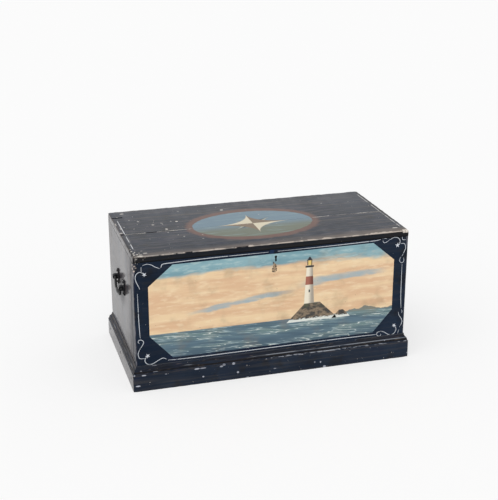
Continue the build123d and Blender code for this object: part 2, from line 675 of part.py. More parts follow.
def handle_plate(y):
    """One cast plate with the ear that carries an end of the bail."""
    board = Plane((-HALF_LENGTH, y, HANDLE_Z), x_dir=(0, -1, 0), z_dir=(-1, 0, 0))
    rims = list(Circle(HANDLE_PLATE_R).edges())
    for s in (-1, 1):
        rims += (Pos(0, s * HANDLE_LOBE_Z) * Circle(HANDLE_LOBE_R)).edges()
    plate = extrude(board * make_hull(rims), HANDLE_PLATE_THICK)
    plate = chamfer(plate.faces().sort_by(Axis.X)[0].edges(), HANDLE_PLATE_BEVEL)
    plate += handle_ear(y)
    for x, _, z in handle_screw_points(y):
        plate -= rod_x(x, -HALF_LENGTH, y, z, SCREW_R + SCREW_FIT)
    return plate


def bail():
    """The drop handle: a bent iron rod, thicker in the grip, its ends turned out into the ears."""
    x = -HALF_LENGTH - PIVOT_OUT
    end = EAR_Y + EAR_WIDTH / 2 + BAIL_END
    leg = EAR_Y - EAR_WIDTH / 2 - BAIL_LEG_IN
    low = HANDLE_Z - BAIL_DROP
    corners = [(x, end, HANDLE_Z), (x, leg, HANDLE_Z), (x, leg, low)]
    corners += [(px, -py, pz) for px, py, pz in reversed(corners)]
    path = FilletPolyline(*corners, radius=[BAIL_TURN, BAIL_BEND, BAIL_BEND, BAIL_TURN])
    rod = sweep(facing(path @ 0, path % 0) * Circle(BAIL_R), path)
    half = GRIP_LENGTH / 2
    swell = ThreePointArc((-half, GRIP_END_R), (0, GRIP_R), (half, GRIP_END_R))
    closing = Polyline((half, GRIP_END_R), (half, 0), (-half, 0), (-half, GRIP_END_R))
    grip = revolve(make_face(swell + closing), Axis.X)
    return rod + Pos(x, 0, low) * Rot(0, 0, 90) * grip


front_plate = handle_plate(-EAR_Y)
rear_plate = handle_plate(EAR_Y)
left_bail = bail()
left_screws = []
for y in (-EAR_Y, EAR_Y):
    left_screws += [round_screw(at, (-1, 0, 0), HANDLE_SCREW_LENGTH) for at in handle_screw_points(y)]
for node, piece in (("front_plate", front_plate), ("rear_plate", rear_plate), ("bail", left_bail)):
    save(piece, f"left_handle_{node}")
    save(mirror(piece, Plane.YZ), f"right_handle_{node}")
right_screws = [mirror(screw, Plane.YZ) for screw in left_screws]
save(Compound(children=left_screws + right_screws), "handle_screws")


# ---------------------------------------------------------------- nails

down = (0, 0, -1)
bottom_nails = []
for x in spread(-INNER_X + NAIL_LENGTH, INNER_X - NAIL_LENGTH, BOTTOM_NAILS):
    for y in (CASE_FRONT + BOARD_THICK / 2, CASE_BACK - BOARD_THICK / 2):
        bottom_nails.append(cut_nail((x, y, BOTTOM_LIFT), down, NAIL_LENGTH))
for y in (INNER_FRONT / 2, INNER_BACK / 2):
    for x in (-HALF_LENGTH + BOARD_THICK / 2, HALF_LENGTH - BOARD_THICK / 2):
        bottom_nails.append(cut_nail((x, y, BOTTOM_LIFT), down, NAIL_LENGTH))
save(Compound(children=bottom_nails), "bottom_nails")

plinth_nails = []
nail_z = FLOOR_TOP + NAIL_HEAD
plinth_y = CASE_BACK + PLINTH_THICK
plinth_x = HALF_LENGTH + PLINTH_THICK
for side in (-1, 1):
    for x in spread(-INNER_X, INNER_X, PLINTH_FRONT_NAILS):
        plinth_nails.append(cut_nail((x, side * plinth_y, nail_z), (0, side, 0), BRAD_LENGTH))
    for y in spread(INNER_FRONT, INNER_BACK, PLINTH_END_NAILS):
        plinth_nails.append(cut_nail((side * plinth_x, y, nail_z), (side, 0, 0), BRAD_LENGTH))
save(Compound(children=plinth_nails), "plinth_nails")

strip_nails = []
strip_z = LID_UNDER + LID_THICK / 2
for side in (-1, 1):
    for y in (INNER_FRONT, INNER_FRONT / 2, INNER_BACK / 2, INNER_BACK):
        strip_nails.append(cut_nail((side * HALF_LENGTH, y, strip_z), (side, 0, 0), BRAD_LENGTH))
save(Compound(children=strip_nails), "lid_strip_nails")
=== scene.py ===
# %% [markdown]
# # A sailor's ditty box
# The box is a dovetailed pine case on a moulded plinth, with a flat lid on two hinges, a lock in
# the front and an iron drop handle on each end. It was painted near black, and a seaman's
# paintbox gave it a sea picture in front, an oval on the lid and white line work.
#
# The construction model comes first. It is loaded as a fixed frame, and everything made here sits
# on it, in metres, with +Z up and the front towards -Y.

# %% Load the frame
import math

import bpy
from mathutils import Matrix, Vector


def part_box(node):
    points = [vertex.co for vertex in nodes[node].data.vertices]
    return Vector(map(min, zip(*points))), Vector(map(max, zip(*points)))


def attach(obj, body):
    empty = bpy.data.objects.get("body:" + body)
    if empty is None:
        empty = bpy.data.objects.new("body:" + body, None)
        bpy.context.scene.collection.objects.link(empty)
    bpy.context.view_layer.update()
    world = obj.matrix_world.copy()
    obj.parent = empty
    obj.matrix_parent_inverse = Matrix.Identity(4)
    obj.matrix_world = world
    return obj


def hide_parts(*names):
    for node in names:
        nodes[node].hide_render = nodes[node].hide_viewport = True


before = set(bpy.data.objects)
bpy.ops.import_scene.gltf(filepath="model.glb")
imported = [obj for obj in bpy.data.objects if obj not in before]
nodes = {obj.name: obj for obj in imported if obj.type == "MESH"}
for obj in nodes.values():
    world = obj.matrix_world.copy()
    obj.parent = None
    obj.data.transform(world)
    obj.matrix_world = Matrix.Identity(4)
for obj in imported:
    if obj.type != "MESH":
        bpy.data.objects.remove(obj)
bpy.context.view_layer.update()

# %% [markdown]
# The sizes that the finishes need are read from the frame: the lid's slab, the case's front and
# ends, and the plinth. A paint mark keeps its place on its board if the box is built larger.

# %% Sizes from the frame
MM = 0.001
LID_LOW, LID_HIGH = [list(corner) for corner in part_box("lid_left_end_strip")]
LID_HIGH[0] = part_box("lid_right_end_strip")[1][0]
LID_TOP = LID_HIGH[2]
CASE_LOW = list(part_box("left_end_board")[0])
CASE_HIGH = list(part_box("right_end_board")[1])
CASE_FRONT = CASE_LOW[1]
INNER_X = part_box("right_end_board")[0][0]
INNER_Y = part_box("back_board")[0][1]
PLINTH_LOW = [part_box("plinth_left")[0][0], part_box("plinth_front")[0][1], 0.0]
PLINTH_HIGH = [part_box("plinth_right")[1][0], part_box("plinth_back")[1][1], 30 * MM]
PLINTH_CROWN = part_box("plinth_front")[1][2]
print("case front at", round(CASE_FRONT, 4), "lid top at", round(LID_TOP, 4))

# %% [markdown]
# ## Camera
# The camera looks a little down on the box from the front left, through a long lens, so the
# upright edges stay nearly parallel. It stands at a fixed spot, and two angles turn it to the box.

# %% Camera
AZIMUTH = math.radians(-16.35)
ELEVATION = math.radians(19.87)
EYE = (-0.4798, -1.6019, 0.7763)
LENS = 76.97

bpy.ops.object.select_all(action="DESELECT")
bpy.ops.object.camera_add(location=EYE, rotation=(math.pi / 2 - ELEVATION, 0, AZIMUTH))
camera = bpy.context.object
camera.name = "camera"
camera.data.lens = LENS
camera.data.sensor_width = 36
bpy.context.scene.camera = camera
print("camera", [round(c, 3) for c in camera.location])

# %% [markdown]
# ## Floor and light
# A white studio with an even sky. Light Path lets what is seen and mirrored be white while the
# light on the box stays at a plain level.

# %% World
SKY_LEVEL = 0.72
SKY_SEEN = 0.96
world = bpy.data.worlds.new("studio")
bpy.context.scene.world = world
world.use_nodes = True
sky = world.node_tree
path = sky.nodes.new("ShaderNodeLightPath")
seen = sky.nodes.new("ShaderNodeMath")
seen.operation = "MAXIMUM"
mirrored = sky.nodes.new("ShaderNodeMath")
mirrored.operation = "MAXIMUM"
level = sky.nodes.new("ShaderNodeMapRange")
level.inputs["To Min"].default_value = SKY_LEVEL
level.inputs["To Max"].default_value = SKY_SEEN
sky.links.new(path.outputs["Is Camera Ray"], seen.inputs[0])
sky.links.new(path.outputs["Is Glossy Ray"], seen.inputs[1])
sky.links.new(seen.outputs[0], mirrored.inputs[0])
sky.links.new(path.outputs["Is Transmission Ray"], mirrored.inputs[1])
sky.links.new(mirrored.outputs[0], level.inputs["Value"])
sky.links.new(level.outputs["Result"], sky.nodes["Background"].inputs["Strength"])
sky.nodes["Background"].inputs["Color"].default_value = (1, 1, 1, 1)
bpy.context.scene.view_settings.view_transform = "Standard"
print("sky", SKY_LEVEL, "seen as", SKY_SEEN)

# %% [markdown]
# The floor is a wide pale plane that runs out of view. It glows a little where it is seen, so that
# it stays white, and one very soft lamp high on the left gives the box its faint shadow.

# %% Floor and lamp
FLOOR_TONE = 0.94
FLOOR_GLOW = 0.985
GLOW_SHARE = 0.62
LAMP_TILT = math.radians(38)
LAMP_TURN = math.radians(-48)
LAMP_SPREAD = math.radians(70)
LAMP_LEVEL = 1.1
bpy.ops.object.select_all(action="DESELECT")
bpy.ops.mesh.primitive_plane_add(size=40)
floor = bpy.context.object
floor.name = "floor"
floor_paint = bpy.data.materials.new("floor_paint")
floor_paint.use_nodes = True
floor_shader = floor_paint.node_tree.nodes["Principled BSDF"]
floor_shader.inputs["Base Color"].default_value = (FLOOR_TONE, FLOOR_TONE, FLOOR_TONE, 1)
floor_shader.inputs["Roughness"].default_value = 1
floor_shader.inputs["Specular IOR Level"].default_value = 0
floor_light = floor_paint.node_tree.nodes.new("ShaderNodeLightPath")
floor_glow = floor_paint.node_tree.nodes.new("ShaderNodeEmission")
floor_glow.inputs["Strength"].default_value = FLOOR_GLOW
floor_share = floor_paint.node_tree.nodes.new("ShaderNodeMath")
floor_share.operation = "MULTIPLY"
floor_share.inputs[1].default_value = GLOW_SHARE
floor_mix = floor_paint.node_tree.nodes.new("ShaderNodeMixShader")
floor_links = floor_paint.node_tree.links
floor_links.new(floor_light.outputs["Is Camera Ray"], floor_share.inputs[0])
floor_links.new(floor_share.outputs[0], floor_mix.inputs[0])
floor_links.new(floor_shader.outputs[0], floor_mix.inputs[1])
floor_links.new(floor_glow.outputs[0], floor_mix.inputs[2])
floor_links.new(floor_mix.outputs[0], floor_paint.node_tree.nodes["Material Output"].inputs["Surface"])
floor.data.materials.append(floor_paint)

bpy.ops.object.light_add(type="SUN", rotation=(LAMP_TILT, 0, LAMP_TURN))
lamp = bpy.context.object
lamp.name = "soft_lamp"
lamp.data.energy = LAMP_LEVEL
lamp.data.angle = LAMP_SPREAD
lamp.visible_glossy = False
print("floor and lamp ready")

# %% [markdown]
# ## Finishes
# Every finish is a tree of nodes on one Principled shader. Two classes keep such a tree readable. A
# Value is what a node gives out, and the signs between two values add the node that joins them. A
# Finish holds the tree and the colour so far, on which later coats are laid. Patterns read Object
# coordinates, which are the box's own metres, so a mark can be put at a real place.

# %% A finish under construction
def ink(code):
    """A colour from its six hex digits, made linear for the shader."""
    parts = [int(code[i : i + 2], 16) / 255 for i in (0, 2, 4)]
    return tuple(((p + 0.055) / 1.055) ** 2.4 if p > 0.04045 else p / 12.92 for p in parts) + (1,)


def joining(operation, turned=False):
    """The meaning of a sign between two values: one more node, which joins them."""

    def join(self, other):
        pair = (other, self) if turned else (self, other)
        return self.finish.sum(operation, *pair)

    return join


class Value:
    """What one node of a finish gives out, or a later one that the signs + - * / ** join."""

    def __init__(self, finish, socket):
        self.finish = finish
        self.socket = socket

    __add__ = joining("ADD")
    __radd__ = joining("ADD", turned=True)
    __sub__ = joining("SUBTRACT")
    __rsub__ = joining("SUBTRACT", turned=True)
    __mul__ = joining("MULTIPLY")
    __truediv__ = joining("DIVIDE")
    __pow__ = joining("POWER")

    def __abs__(self):
        return self.finish.sum("ABSOLUTE", self)

    def step(self, start, end):
        """0 at start, 1 at end and a soft rise between, whichever is the larger."""
        made = self.finish.add("ShaderNodeMapRange", interpolation_type="SMOOTHSTEP")
        for name, value in {"Value": self, "From Min": start, "From Max": end}.items():
            self.finish.feed(value, made.inputs[name])
        return Value(self.finish, made.outputs["Result"])

    def within(self, low, high, soft):
        """1 where the value lies between two limits, with soft ends."""
        return self.step(low - soft, low + soft) * self.step(high + soft, high - soft)

    def coated(self, shade, share):
        """This colour under a coat of another, where share says how much of it is covered."""
        return self.finish.mix(share, self, shade)


class Finish:
    """A material on one Principled shader. Its grain runs along X or along Y."""

    def __init__(self, name, grain="x"):
        self.material = bpy.data.materials.new(name)
        self.material.use_nodes = True
        self.tree = self.material.node_tree
        self.shader = self.tree.nodes["Principled BSDF"]
        self.grain = grain
        place = self.add("ShaderNodeTexCoord")
        self.spot = Value(self, place.outputs["Object"])
        self.place = self.parts(self.spot)
        self.facing = self.parts(Value(self, place.outputs["Normal"]))

    def add(self, kind, **settings):
        made = self.tree.nodes.new(kind)
        for setting, value in settings.items():
            setattr(made, setting, value)
        return made

    def feed(self, value, socket):
        """Links a value to a socket, or sets it to a number, a vector or a colour's code."""
        if isinstance(value, Value):
            self.tree.links.new(value.socket, socket)
        else:
            socket.default_value = ink(value) if isinstance(value, str) else value

    def joined(self, kind, operation, values):
        made = self.add(kind, operation=operation)
        for value, socket in zip(values, made.inputs):
            self.feed(value, socket)
        return made.outputs

    def sum(self, operation, *values):
        return Value(self, self.joined("ShaderNodeMath", operation, values)[0])

    def vector(self, operation, *values):
        return Value(self, self.joined("ShaderNodeVectorMath", operation, values)[0])

    def far(self, point, scale=None):
        """How far a spot is from a point."""
        away = self.vector("SUBTRACT", self.spot, point)
        if scale:
            away = self.vector("MULTIPLY", away, scale)
        return Value(self, self.joined("ShaderNodeVectorMath", "LENGTH", [away])["Value"])

    def parts(self, vector):
        split = self.add("ShaderNodeSeparateXYZ")
        self.feed(vector, split.inputs[0])
        return [Value(self, output) for output in split.outputs]

    def least(self, a, b):
        return self.sum("MINIMUM", a, b)

    def most(self, a, b):
        return self.sum("MAXIMUM", a, b)

    def mix(self, share, first, second):
        made = self.add("ShaderNodeMix", data_type="RGBA")
        for place, value in {0: share, 6: first, 7: second}.items():
            self.feed(value, made.inputs[place])
        return Value(self, made.outputs[2])

    def noise(self, size, detail=3.0, shift=0.0, spot=None):
        """Soft noise from 0 to 1. Its lumps have one size, or a size along X, Y and Z."""
        sizes = size if isinstance(size, tuple) else (size, size, size)
        spread = self.vector("MULTIPLY", spot or self.spot, tuple(1 / s for s in sizes))
        made = self.add("ShaderNodeTexNoise")
        self.feed(self.vector("ADD", spread, (shift, shift, shift)), made.inputs["Vector"])
        made.inputs["Scale"].default_value = 1
        made.inputs["Detail"].default_value = detail
        return Value(self, made.outputs[0])

    def grained(self, along, across, detail, shift=0.0):
        """Noise drawn out along the grain."""
        sizes = {"x": (along, across, across), "y": (across, along, across)}
        return self.noise(sizes[self.grain], detail, shift)

    def on_top(self):
        """1 on faces that look up."""
        return self.facing[2].step(0.45, 0.8)

    def on_front(self):
        """1 on faces that look to the front."""
        return self.facing[1].step(-0.4, -0.8)

    def on_end(self, least=0.6, most=0.8):
        """1 on faces that look left or right."""
        return abs(self.facing[0]).step(least, most)

    def upright(self):
        """1 on faces that look neither up nor down."""
        return abs(self.facing[2]).step(0.5, 0.3)

    def inset(self, low, high):
        """How far inside a box the spot lies, along X, Y and Z."""
        centre = tuple((a + b) / 2 for a, b in zip(low, high))
        half = tuple((b - a) / 2 for a, b in zip(low, high))
        away = self.vector("ABSOLUTE", self.vector("SUBTRACT", self.spot, centre))
        return self.vector("SUBTRACT", half, away)

    def edge(self, low, high):
        """How far a spot on a box's surface is from its nearest edge."""
        a, b, c = self.parts(self.vector("ABSOLUTE", self.inset(low, high)))
        return self.least(self.least(a + b, b + c), c + a)

    def marks(self, across, along, places, rag):
        """Ragged marks, each a centre and two half sizes in millimetres, and how strongly it shows."""
        shown = 0.0
        for x, y, long, high, strength in places:
            wide = (across - x * MM) / (long * MM)
            tall = (along - y * MM) / (high * MM)
            far = wide * wide + tall * tall
            shown = self.most(shown, (far + rag).step(1.15, 0.75) * strength)
        return shown

    def coat(self, shade, share):
        """Lays a coat over the colour so far."""
        self.colour = self.colour.coated(shade, share)

    def settle(self, roughness, height, depth, varnish=None, **levels):
        """Feeds the shader. The height is in the pattern's own range and the depth in metres."""
        self.feed(self.colour, self.shader.inputs["Base Color"])
        self.feed(roughness, self.shader.inputs["Roughness"])
        for level, value in levels.items():
            self.shader.inputs[level.replace("_", " ")].default_value = value
        if varnish is not None:
            self.feed(varnish, self.shader.inputs["Coat Weight"])
        bump = self.add("ShaderNodeBump")
        bump.inputs["Distance"].default_value = depth
        self.feed(height, bump.inputs["Height"])
        self.feed(Value(self, bump.outputs[0]), self.shader.inputs["Normal"])
        return self.material


print("a finish is a tree of nodes on one Principled shader")

# %% [markdown]
# ### Old paint
# The ground is a blue so dark that it reads as black, brushed along each board. Handling has worn
# it: a dusty bloom lies in the grain, the arrises have gone through brown undercoat to a cream
# priming, and small chips are scattered about. Each of those is a mask, from noise stretched along
# the grain or from the distance to the nearest edge of the board, so the wear lies where hands and
# knocks reach. The gloss is the shader's own, so the pale ends and lid are reflections.

# %% Old paint
NAVY = "0d1c2e"
NAVY_WORN = "19283b"
SOOT = "14161a"
INDIGO = "121d36"
BLOOM = "5c5650"
UNDERCOAT = "4a3a30"
PRIMING = "c3ab98"
CHIP = "cfcac2"
# A painted shadow of the narrow joint between the lid and the case, near black.
JOINT_SHADE = "030405"
VARNISH_HAZE = "6f655f"


def old_paint(finish, low, high, bloom=0.3, chips=0.5, wear=1.0, worn_share=1.0):
    """The worn dark paint of one board, as colour, bare places and height."""
    cloud = finish.noise(0.07, 4)
    board = finish.grained(0.16, 0.005, 5, 15.0)
    brush = finish.grained(0.09, 0.0016, 4)
    fine = finish.grained(0.03, 0.0006, 2, 7.0)
    speck = finish.noise(0.0026, 4, 3.0)
    lump = finish.noise(0.02, 4, 11.0)
    blotch = finish.noise(0.03, 3, 67.0)
    finish.colour = finish.mix(cloud.step(0.3, 0.7), NAVY, NAVY_WORN)
    finish.coat(SOOT, blotch.step(0.56, 0.7) * 0.6)
    finish.coat(INDIGO, blotch.step(0.44, 0.32) * 0.6)
    streaks = brush.step(0.42, 0.72) * cloud.step(0.25, 0.75)
    worn = streaks * 0.6 + board.step(0.48, 0.74) * 0.7
    dust = (worn + fine * 0.2) * bloom
    finish.coat(BLOOM, dust)
    edge = finish.edge(low, high)
    knocks = (lump - 0.5) * (6 * MM) + (speck - 0.5) * (5 * MM)
    ragged = edge - knocks * wear
    brown = ragged.step(4.5 * MM * wear, 0.0) * (worn_share * 0.6)
    cream = ragged.step(0.5 * MM * wear, -0.3 * MM) * worn_share
    finish.coat(UNDERCOAT, brown)
    finish.coat(PRIMING, cream)
    patchy = speck + (lump - 0.5) * 0.3
    near = edge.step(30 * MM, 0.0) * 0.04
    chip = (patchy + near).step(0.8 - 0.08 * chips, 0.82 - 0.08 * chips)
    finish.coat(CHIP, chip)
    bare = finish.most(cream, chip)
    height = brush * 0.4 + fine * 0.2 - bare
    return bare, height


print("old paint: 7 noises, 3 wear masks")

# %% [markdown]
# ### Pine
# Under the paint every board is pine, and inside the box the planed wood was left bare. The bands
# of late wood run along a board, darker than the early wood between them, and age has browned both.

# %% Pine
PINE = "b08a5c"
PINE_LATE = "8a6238"
PINE_AGED = "6f5235"


def pine(finish):
    """Planed pine: bands of late wood along the board, fine pores and the dirt of age."""
    ring = finish.grained(0.35, 0.007, 2, 21.0)
    bands = finish.sum("PINGPONG", ring * 9.0, 1.0)
    pores = finish.grained(0.02, 0.0007, 2, 23.0)
    stain = finish.noise(0.09, 4, 25.0)
    colour = finish.mix(bands.step(0.2, 0.95), PINE, PINE_LATE)
    colour = colour.coated(PINE_AGED, stain.step(0.35, 0.75) * 0.6)
    colour = colour.coated(PINE_AGED, pores.step(0.55, 0.8) * 0.35)
    return colour, bands * 0.3 + pores


print("pine: 3 tones")

# %% [markdown]
# ### The lid's oval
# The planks carry an oval: a sky-blue ground in a red-brown ring whose outer side is rubbed soft,
# with a mariner's star in it. It is drawn from the distance to the oval's centre, so the joint
# between the planks still cuts through it.

# %% Oval
OVAL_CENTRE = (-6 * MM, -9 * MM)
OVAL_OUTER = (113 * MM, 78 * MM)
OVAL_INNER = (100.5 * MM, 63 * MM)
STAR_LONG = (66 * MM, 47 * MM)
STAR_SHORT = (56 * MM, 40 * MM)
STAR_HOLLOW = 0.55
SLANT = 1.4
SHARP = 0.000001
OVAL_SKY = "6c8391"
OVAL_SEA = "6c7264"
OVAL_HAZE = "8aa2a4"
RING = "6d5147"
STAR_PALE = "d6ccb4"
STAR_DARK = "7d6b58"


def star(across, along, reach):
    """A four-pointed star with hollow sides: 1 inside, 0 outside."""
    thin_x = abs(across / reach[0]) ** STAR_HOLLOW
    thin_y = abs(along / reach[1]) ** STAR_HOLLOW
    return (thin_x + thin_y).step(1.02, 0.97)


def oval(finish, top):
    """The lid's oval: a ring, a ground, and a star over a smaller one that is turned."""
    x, y = finish.place[:2]
    across = x - OVAL_CENTRE[0]
    along = y - OVAL_CENTRE[1]
    outer, inner = [
        finish.sum("SQRT", (across / wide) ** 2.0 + (along / deep) ** 2.0)
        for wide, deep in (OVAL_OUTER, OVAL_INNER)
    ]
    rubbed = (finish.noise((0.012, 0.006, 0.006), 4) - 0.5) * 0.12
    finish.coat(RING, (outer + rubbed).step(1.03, 0.94) * 0.9 * top)
    ground = finish.mix(along.step(5 * MM, -30 * MM), OVAL_SKY, OVAL_SEA)
    streak = finish.noise((0.05, 0.006, 0.006), 4, 5.0)
    ground = ground.coated(OVAL_HAZE, streak.step(0.5, 0.75) * 0.5)
    slant_a = (across + along * SLANT) * 0.7
    slant_b = (across - along * SLANT) * 0.7
    side = (across * along).step(-SHARP, SHARP)
    slant = (slant_a * slant_b).step(-SHARP, SHARP)
    short_points = finish.mix(slant, "3f5364", "a5a797")
    long_points = finish.mix(side, STAR_PALE, STAR_DARK)
    ground = ground.coated(short_points, star(slant_a, slant_b, STAR_SHORT))
    ground = ground.coated(long_points, star(across, along, STAR_LONG))
    finish.coat(ground, (inner + rubbed * 0.4).step(1.01, 0.99) * top)


print("oval", [round(2 * half / MM, 1) for half in OVAL_OUTER], "mm over its ring")

# %% [markdown]
# ### Wear of the lid
# The two planks of the lid and the two strips that close their ends share one slab, so their wear
# is measured from the slab's edges. Each kind of wear has its function: handling, the rubbed front
# arris, the open joints, and the chips and the broken corner. The handling also lays a painted
# shadow of the joint along the lid's foot, and the arris line is partly a painted highlight.

# %% Lid wear
LID_CHIPS = [
    (-185, 52, 2.0, 3.6, 0.4), (-165, 28, 2.2, 2.4, 0.6), (-150, 33, 1.8, 2.0, 0.4),
    (-148, 1, 2.2, 3.6, 0.7), (-133, 38, 1.6, 2.6, 0.3), (-124, 35, 2.4, 2.4, 0.9),
    (-37, 74, 3.0, 2.4, 1.0), (-110, 87, 2.0, 2.4, 0.3), (208, -96, 5.0, 1.8, 0.9),
    (-204, 99, 3.6, 1.8, 1.0), (-203, -101, 3.4, 2.0, 0.7), (-222, 1, 3.0, 1.4, 1.0),
    (-222, -88, 1.6, 2.2, 1.0), (-221, -99, 1.8, 2.4, 1.0), (-213, -112, 5.0, 1.8, 1.0),
    (-219, 22, 1.2, 4.0, 0.5), (-223, 46, 1.0, 7.0, 0.6), (-218, -93, 1.2, 1.8, 0.9),
    (-216, -104, 1.4, 1.8, 0.9), (-222, -79, 1.0, 2.4, 0.8), (-212, -98, 1.6, 1.6, 0.4),
    (-207, -90, 2.0, 1.6, 0.3),
]
LID_FRONT = LID_LOW[1]
PLANK_JOINT = -8 * MM
STRIP_INNER = (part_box("lid_left_end_strip")[1][0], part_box("lid_right_end_strip")[0][0])
STRIP_LINES = (
    (STRIP_INNER[0], 0.30, "e4e6ea", -78, 62),
    (STRIP_INNER[1] - 0.3 * MM, 0.36, "d6d4d2", -94, 92),
)
STRIP_GOUGES = [(221.5, -2, 2.6, 6.5, 1.0), (221.5, -48, 2.6, 6.5, 1.0)]


def lid_handling_and_joint_shade(finish, top, handled):
    """Dull patches, a rubbed front, soot on the front face and a painted shadow of the joint along its
    foot.
    """
    x, y, z = finish.place
    mottle = finish.grained(0.022, 0.005, 5, 51.0)
    finish.coat("6a6368", mottle.step(0.5, 0.7) * top * 0.3)
    finish.coat("0b0d11", mottle.step(0.46, 0.3) * top * 0.5)
    reach = handled * (24 * MM) + x.step(20 * MM, 170 * MM) * (-9 * MM)
    front = (y + reach).step(LID_FRONT + 31 * MM, LID_FRONT + 10 * MM)
    finish.coat("6e635b", front * top * 0.75)
    soot = finish.mix(handled.step(0.42, 0.62), "060a11", "171310")
    finish.coat(soot, finish.on_front() * 0.85)
    # The lid's foot is painted near black: a painted shadow of the joint under it.
    foot = z.step(LID_LOW[2] + 1.6 * MM, LID_LOW[2] + 0.8 * MM)
    finish.coat(JOINT_SHADE, finish.upright() * foot)


def lid_arris(finish, knocks):
    """The front arris: a thin broken line, partly worn priming and partly a painted highlight, and wider
    patches towards the right.
    """
    x, y, z = finish.place
    behind = y - LID_FRONT
    thread = finish.noise(0.02, 4, 57.0)
    # A thin pale line along the front arris: partly worn priming, partly a painted highlight.
    line = (behind + (LID_TOP - z)).step(2.2 * MM, 1.3 * MM) * thread.step(0.36, 0.46)
    finish.coat("a9a29c", line * 0.75)
    more = x.step(-80 * MM, 160 * MM) * (1.6 * MM)
    patches = behind - ((knocks - 0.56) * (16 * MM) + more)
    upper = z.step(LID_TOP - 1.8 * MM, LID_TOP - 1.0 * MM)
    finish.coat("bdb1a6", patches.step(1.6 * MM, 0.6 * MM) * upper)


def lid_joints(finish, top):
    """The joint of the planks, dark with white chips beside it, and those of the end strips."""
    x, y = finish.place[:2]
    across = abs(y - PLANK_JOINT)
    ends = abs(x + 6 * MM).step(95 * MM, 118 * MM)
    crack = finish.noise((0.03, 0.002, 0.002), 4, 4.0)
    white = across.step(1.4 * MM, 0.7 * MM) * crack.step(0.5, 0.58) * ends
    finish.coat("0a0d12", across.step(1.1 * MM, 0.6 * MM) * (ends * top))
    finish.coat(CHIP, white * top)
    beyond = x.step(STRIP_INNER[1] + 0.3 * MM, STRIP_INNER[1] + 0.9 * MM)
    finish.coat("0b0c10", beyond * top * y.within(-54 * MM, 108 * MM, 6 * MM) * 0.85)
    split = finish.noise((0.004, 0.02, 0.004), 4, 8.0)
    finish.coat("020203", finish.marks(x, y, STRIP_GOUGES, split - 0.5) * top)
    for at, share, shade, south, north in STRIP_LINES:
        line = abs(x - at).step(0.8 * MM, 0.4 * MM) * split.step(share, share + 0.08)
        line = line * y.within(south * MM, north * MM, 4 * MM)
        finish.coat(shade, line * (top * 0.85))


def lid_breaks(finish, top, knocks):
    """Chips on the top, most at the front left, and the corner that broke off at the right."""
    x, y, z = finish.place
    scatter = finish.noise(0.005, 3, 41.0)
    left = x.step(-90 * MM, -180 * MM) * 0.02
    corner = finish.far((LID_LOW[0], LID_FRONT, LID_TOP)).step(34 * MM, 2 * MM)
    flaked = (scatter + left + corner * 0.12).step(0.745, 0.76) * (0.35 + top * 0.65)
    placed = finish.marks(x, y, LID_CHIPS, scatter - 0.5) * top
    finish.coat(CHIP, finish.most(flaked, placed))
    corner = finish.far((LID_HIGH[0], LID_FRONT, LID_TOP - 2 * MM)) + (knocks - 0.5) * (24 * MM)
    whole = z.step(LID_TOP - 4.2 * MM, LID_TOP - 3.2 * MM)
    finish.coat("ddd3c8", corner.step(9 * MM, 7 * MM) * whole)
    inwards = x - LID_LOW[0] + (LID_TOP - z) + knocks * (4 * MM)
    south = y.step(-20 * MM, -80 * MM)
    finish.coat("090b0e", inwards.step(7 * MM, 4 * MM) * south * scatter.step(0.62, 0.5))


print(len(LID_CHIPS), "chips placed on the lid")

# %% [markdown]
# ### The lid's finishes
# Wear and oval are laid over the old paint. Inside the cracks the lid is painted nearly black as
# shade, and underneath it is bare planed pine.

# %% Lid finishes
UNDER_MARGIN = 14 * MM


def lid_paint(name, grain):
    """The lid's finish, with its grain along X on the planks or along Y on the end strips."""
    finish = Finish(name, grain)
    y, z = finish.place[1:]
    top = finish.on_top()
    kept = 0.2 + top * 0.8
    dusty = 0.06 + top * 0.62
    bare, height = old_paint(finish, LID_LOW, LID_HIGH, dusty, chips=0.45, wear=0.8, worn_share=kept)
    handled = finish.noise((0.05, 0.008, 0.008), 5, 2.0)
    knocks = finish.noise(0.012, 5, 53.0)
    lid_handling_and_joint_shade(finish, top, handled)
    lid_arris(finish, knocks)
    if grain == "x":
        oval(finish, top)
    lid_joints(finish, top)
    lid_breaks(finish, top, knocks)
    inset_x, inset_y, inset_z = finish.parts(finish.inset(LID_LOW, LID_HIGH))
    inset = finish.least(inset_x, inset_y)
    # Deep inside the slab, in the cracks and the open joint, the wood is painted near black as shade.
    crack_shade = inset.step(2.6 * MM, 3.4 * MM) * inset_z.step(1.0 * MM, 1.8 * MM)
    finish.coat("010102", crack_shade * z.step(LID_LOW[2] + 1 * MM, LID_LOW[2] + 2 * MM))
    end_face = finish.on_end()
    whole = 1.0 - crack_shade
    finish.coat(VARNISH_HAZE, end_face * whole * 0.4)
    glossy = y.step(-112 * MM, -30 * MM) * 0.3 + 0.25
    varnish = end_face * glossy * handled.step(0.75, 0.45) * whole
    wood, wood_height = pine(finish)
    under = finish.facing[2].step(-0.45, -0.8) * inset.step(UNDER_MARGIN, UNDER_MARGIN + 0.6 * MM)
    finish.coat(wood, under)
    height = height * (1.0 - under) + wood_height * under
    rough = 0.36 + finish.most(bare * 1.6, under) * 0.25
    return finish.settle(rough, height, 0.25 * MM, varnish, IOR=1.26, Coat_IOR=1.5, Coat_Roughness=0.12)


lid_plank_paint = lid_paint("lid_plank_paint", "x")
lid_strip_paint = lid_paint("lid_strip_paint", "y")
print("lid finishes:", lid_plank_paint.name, lid_strip_paint.name)
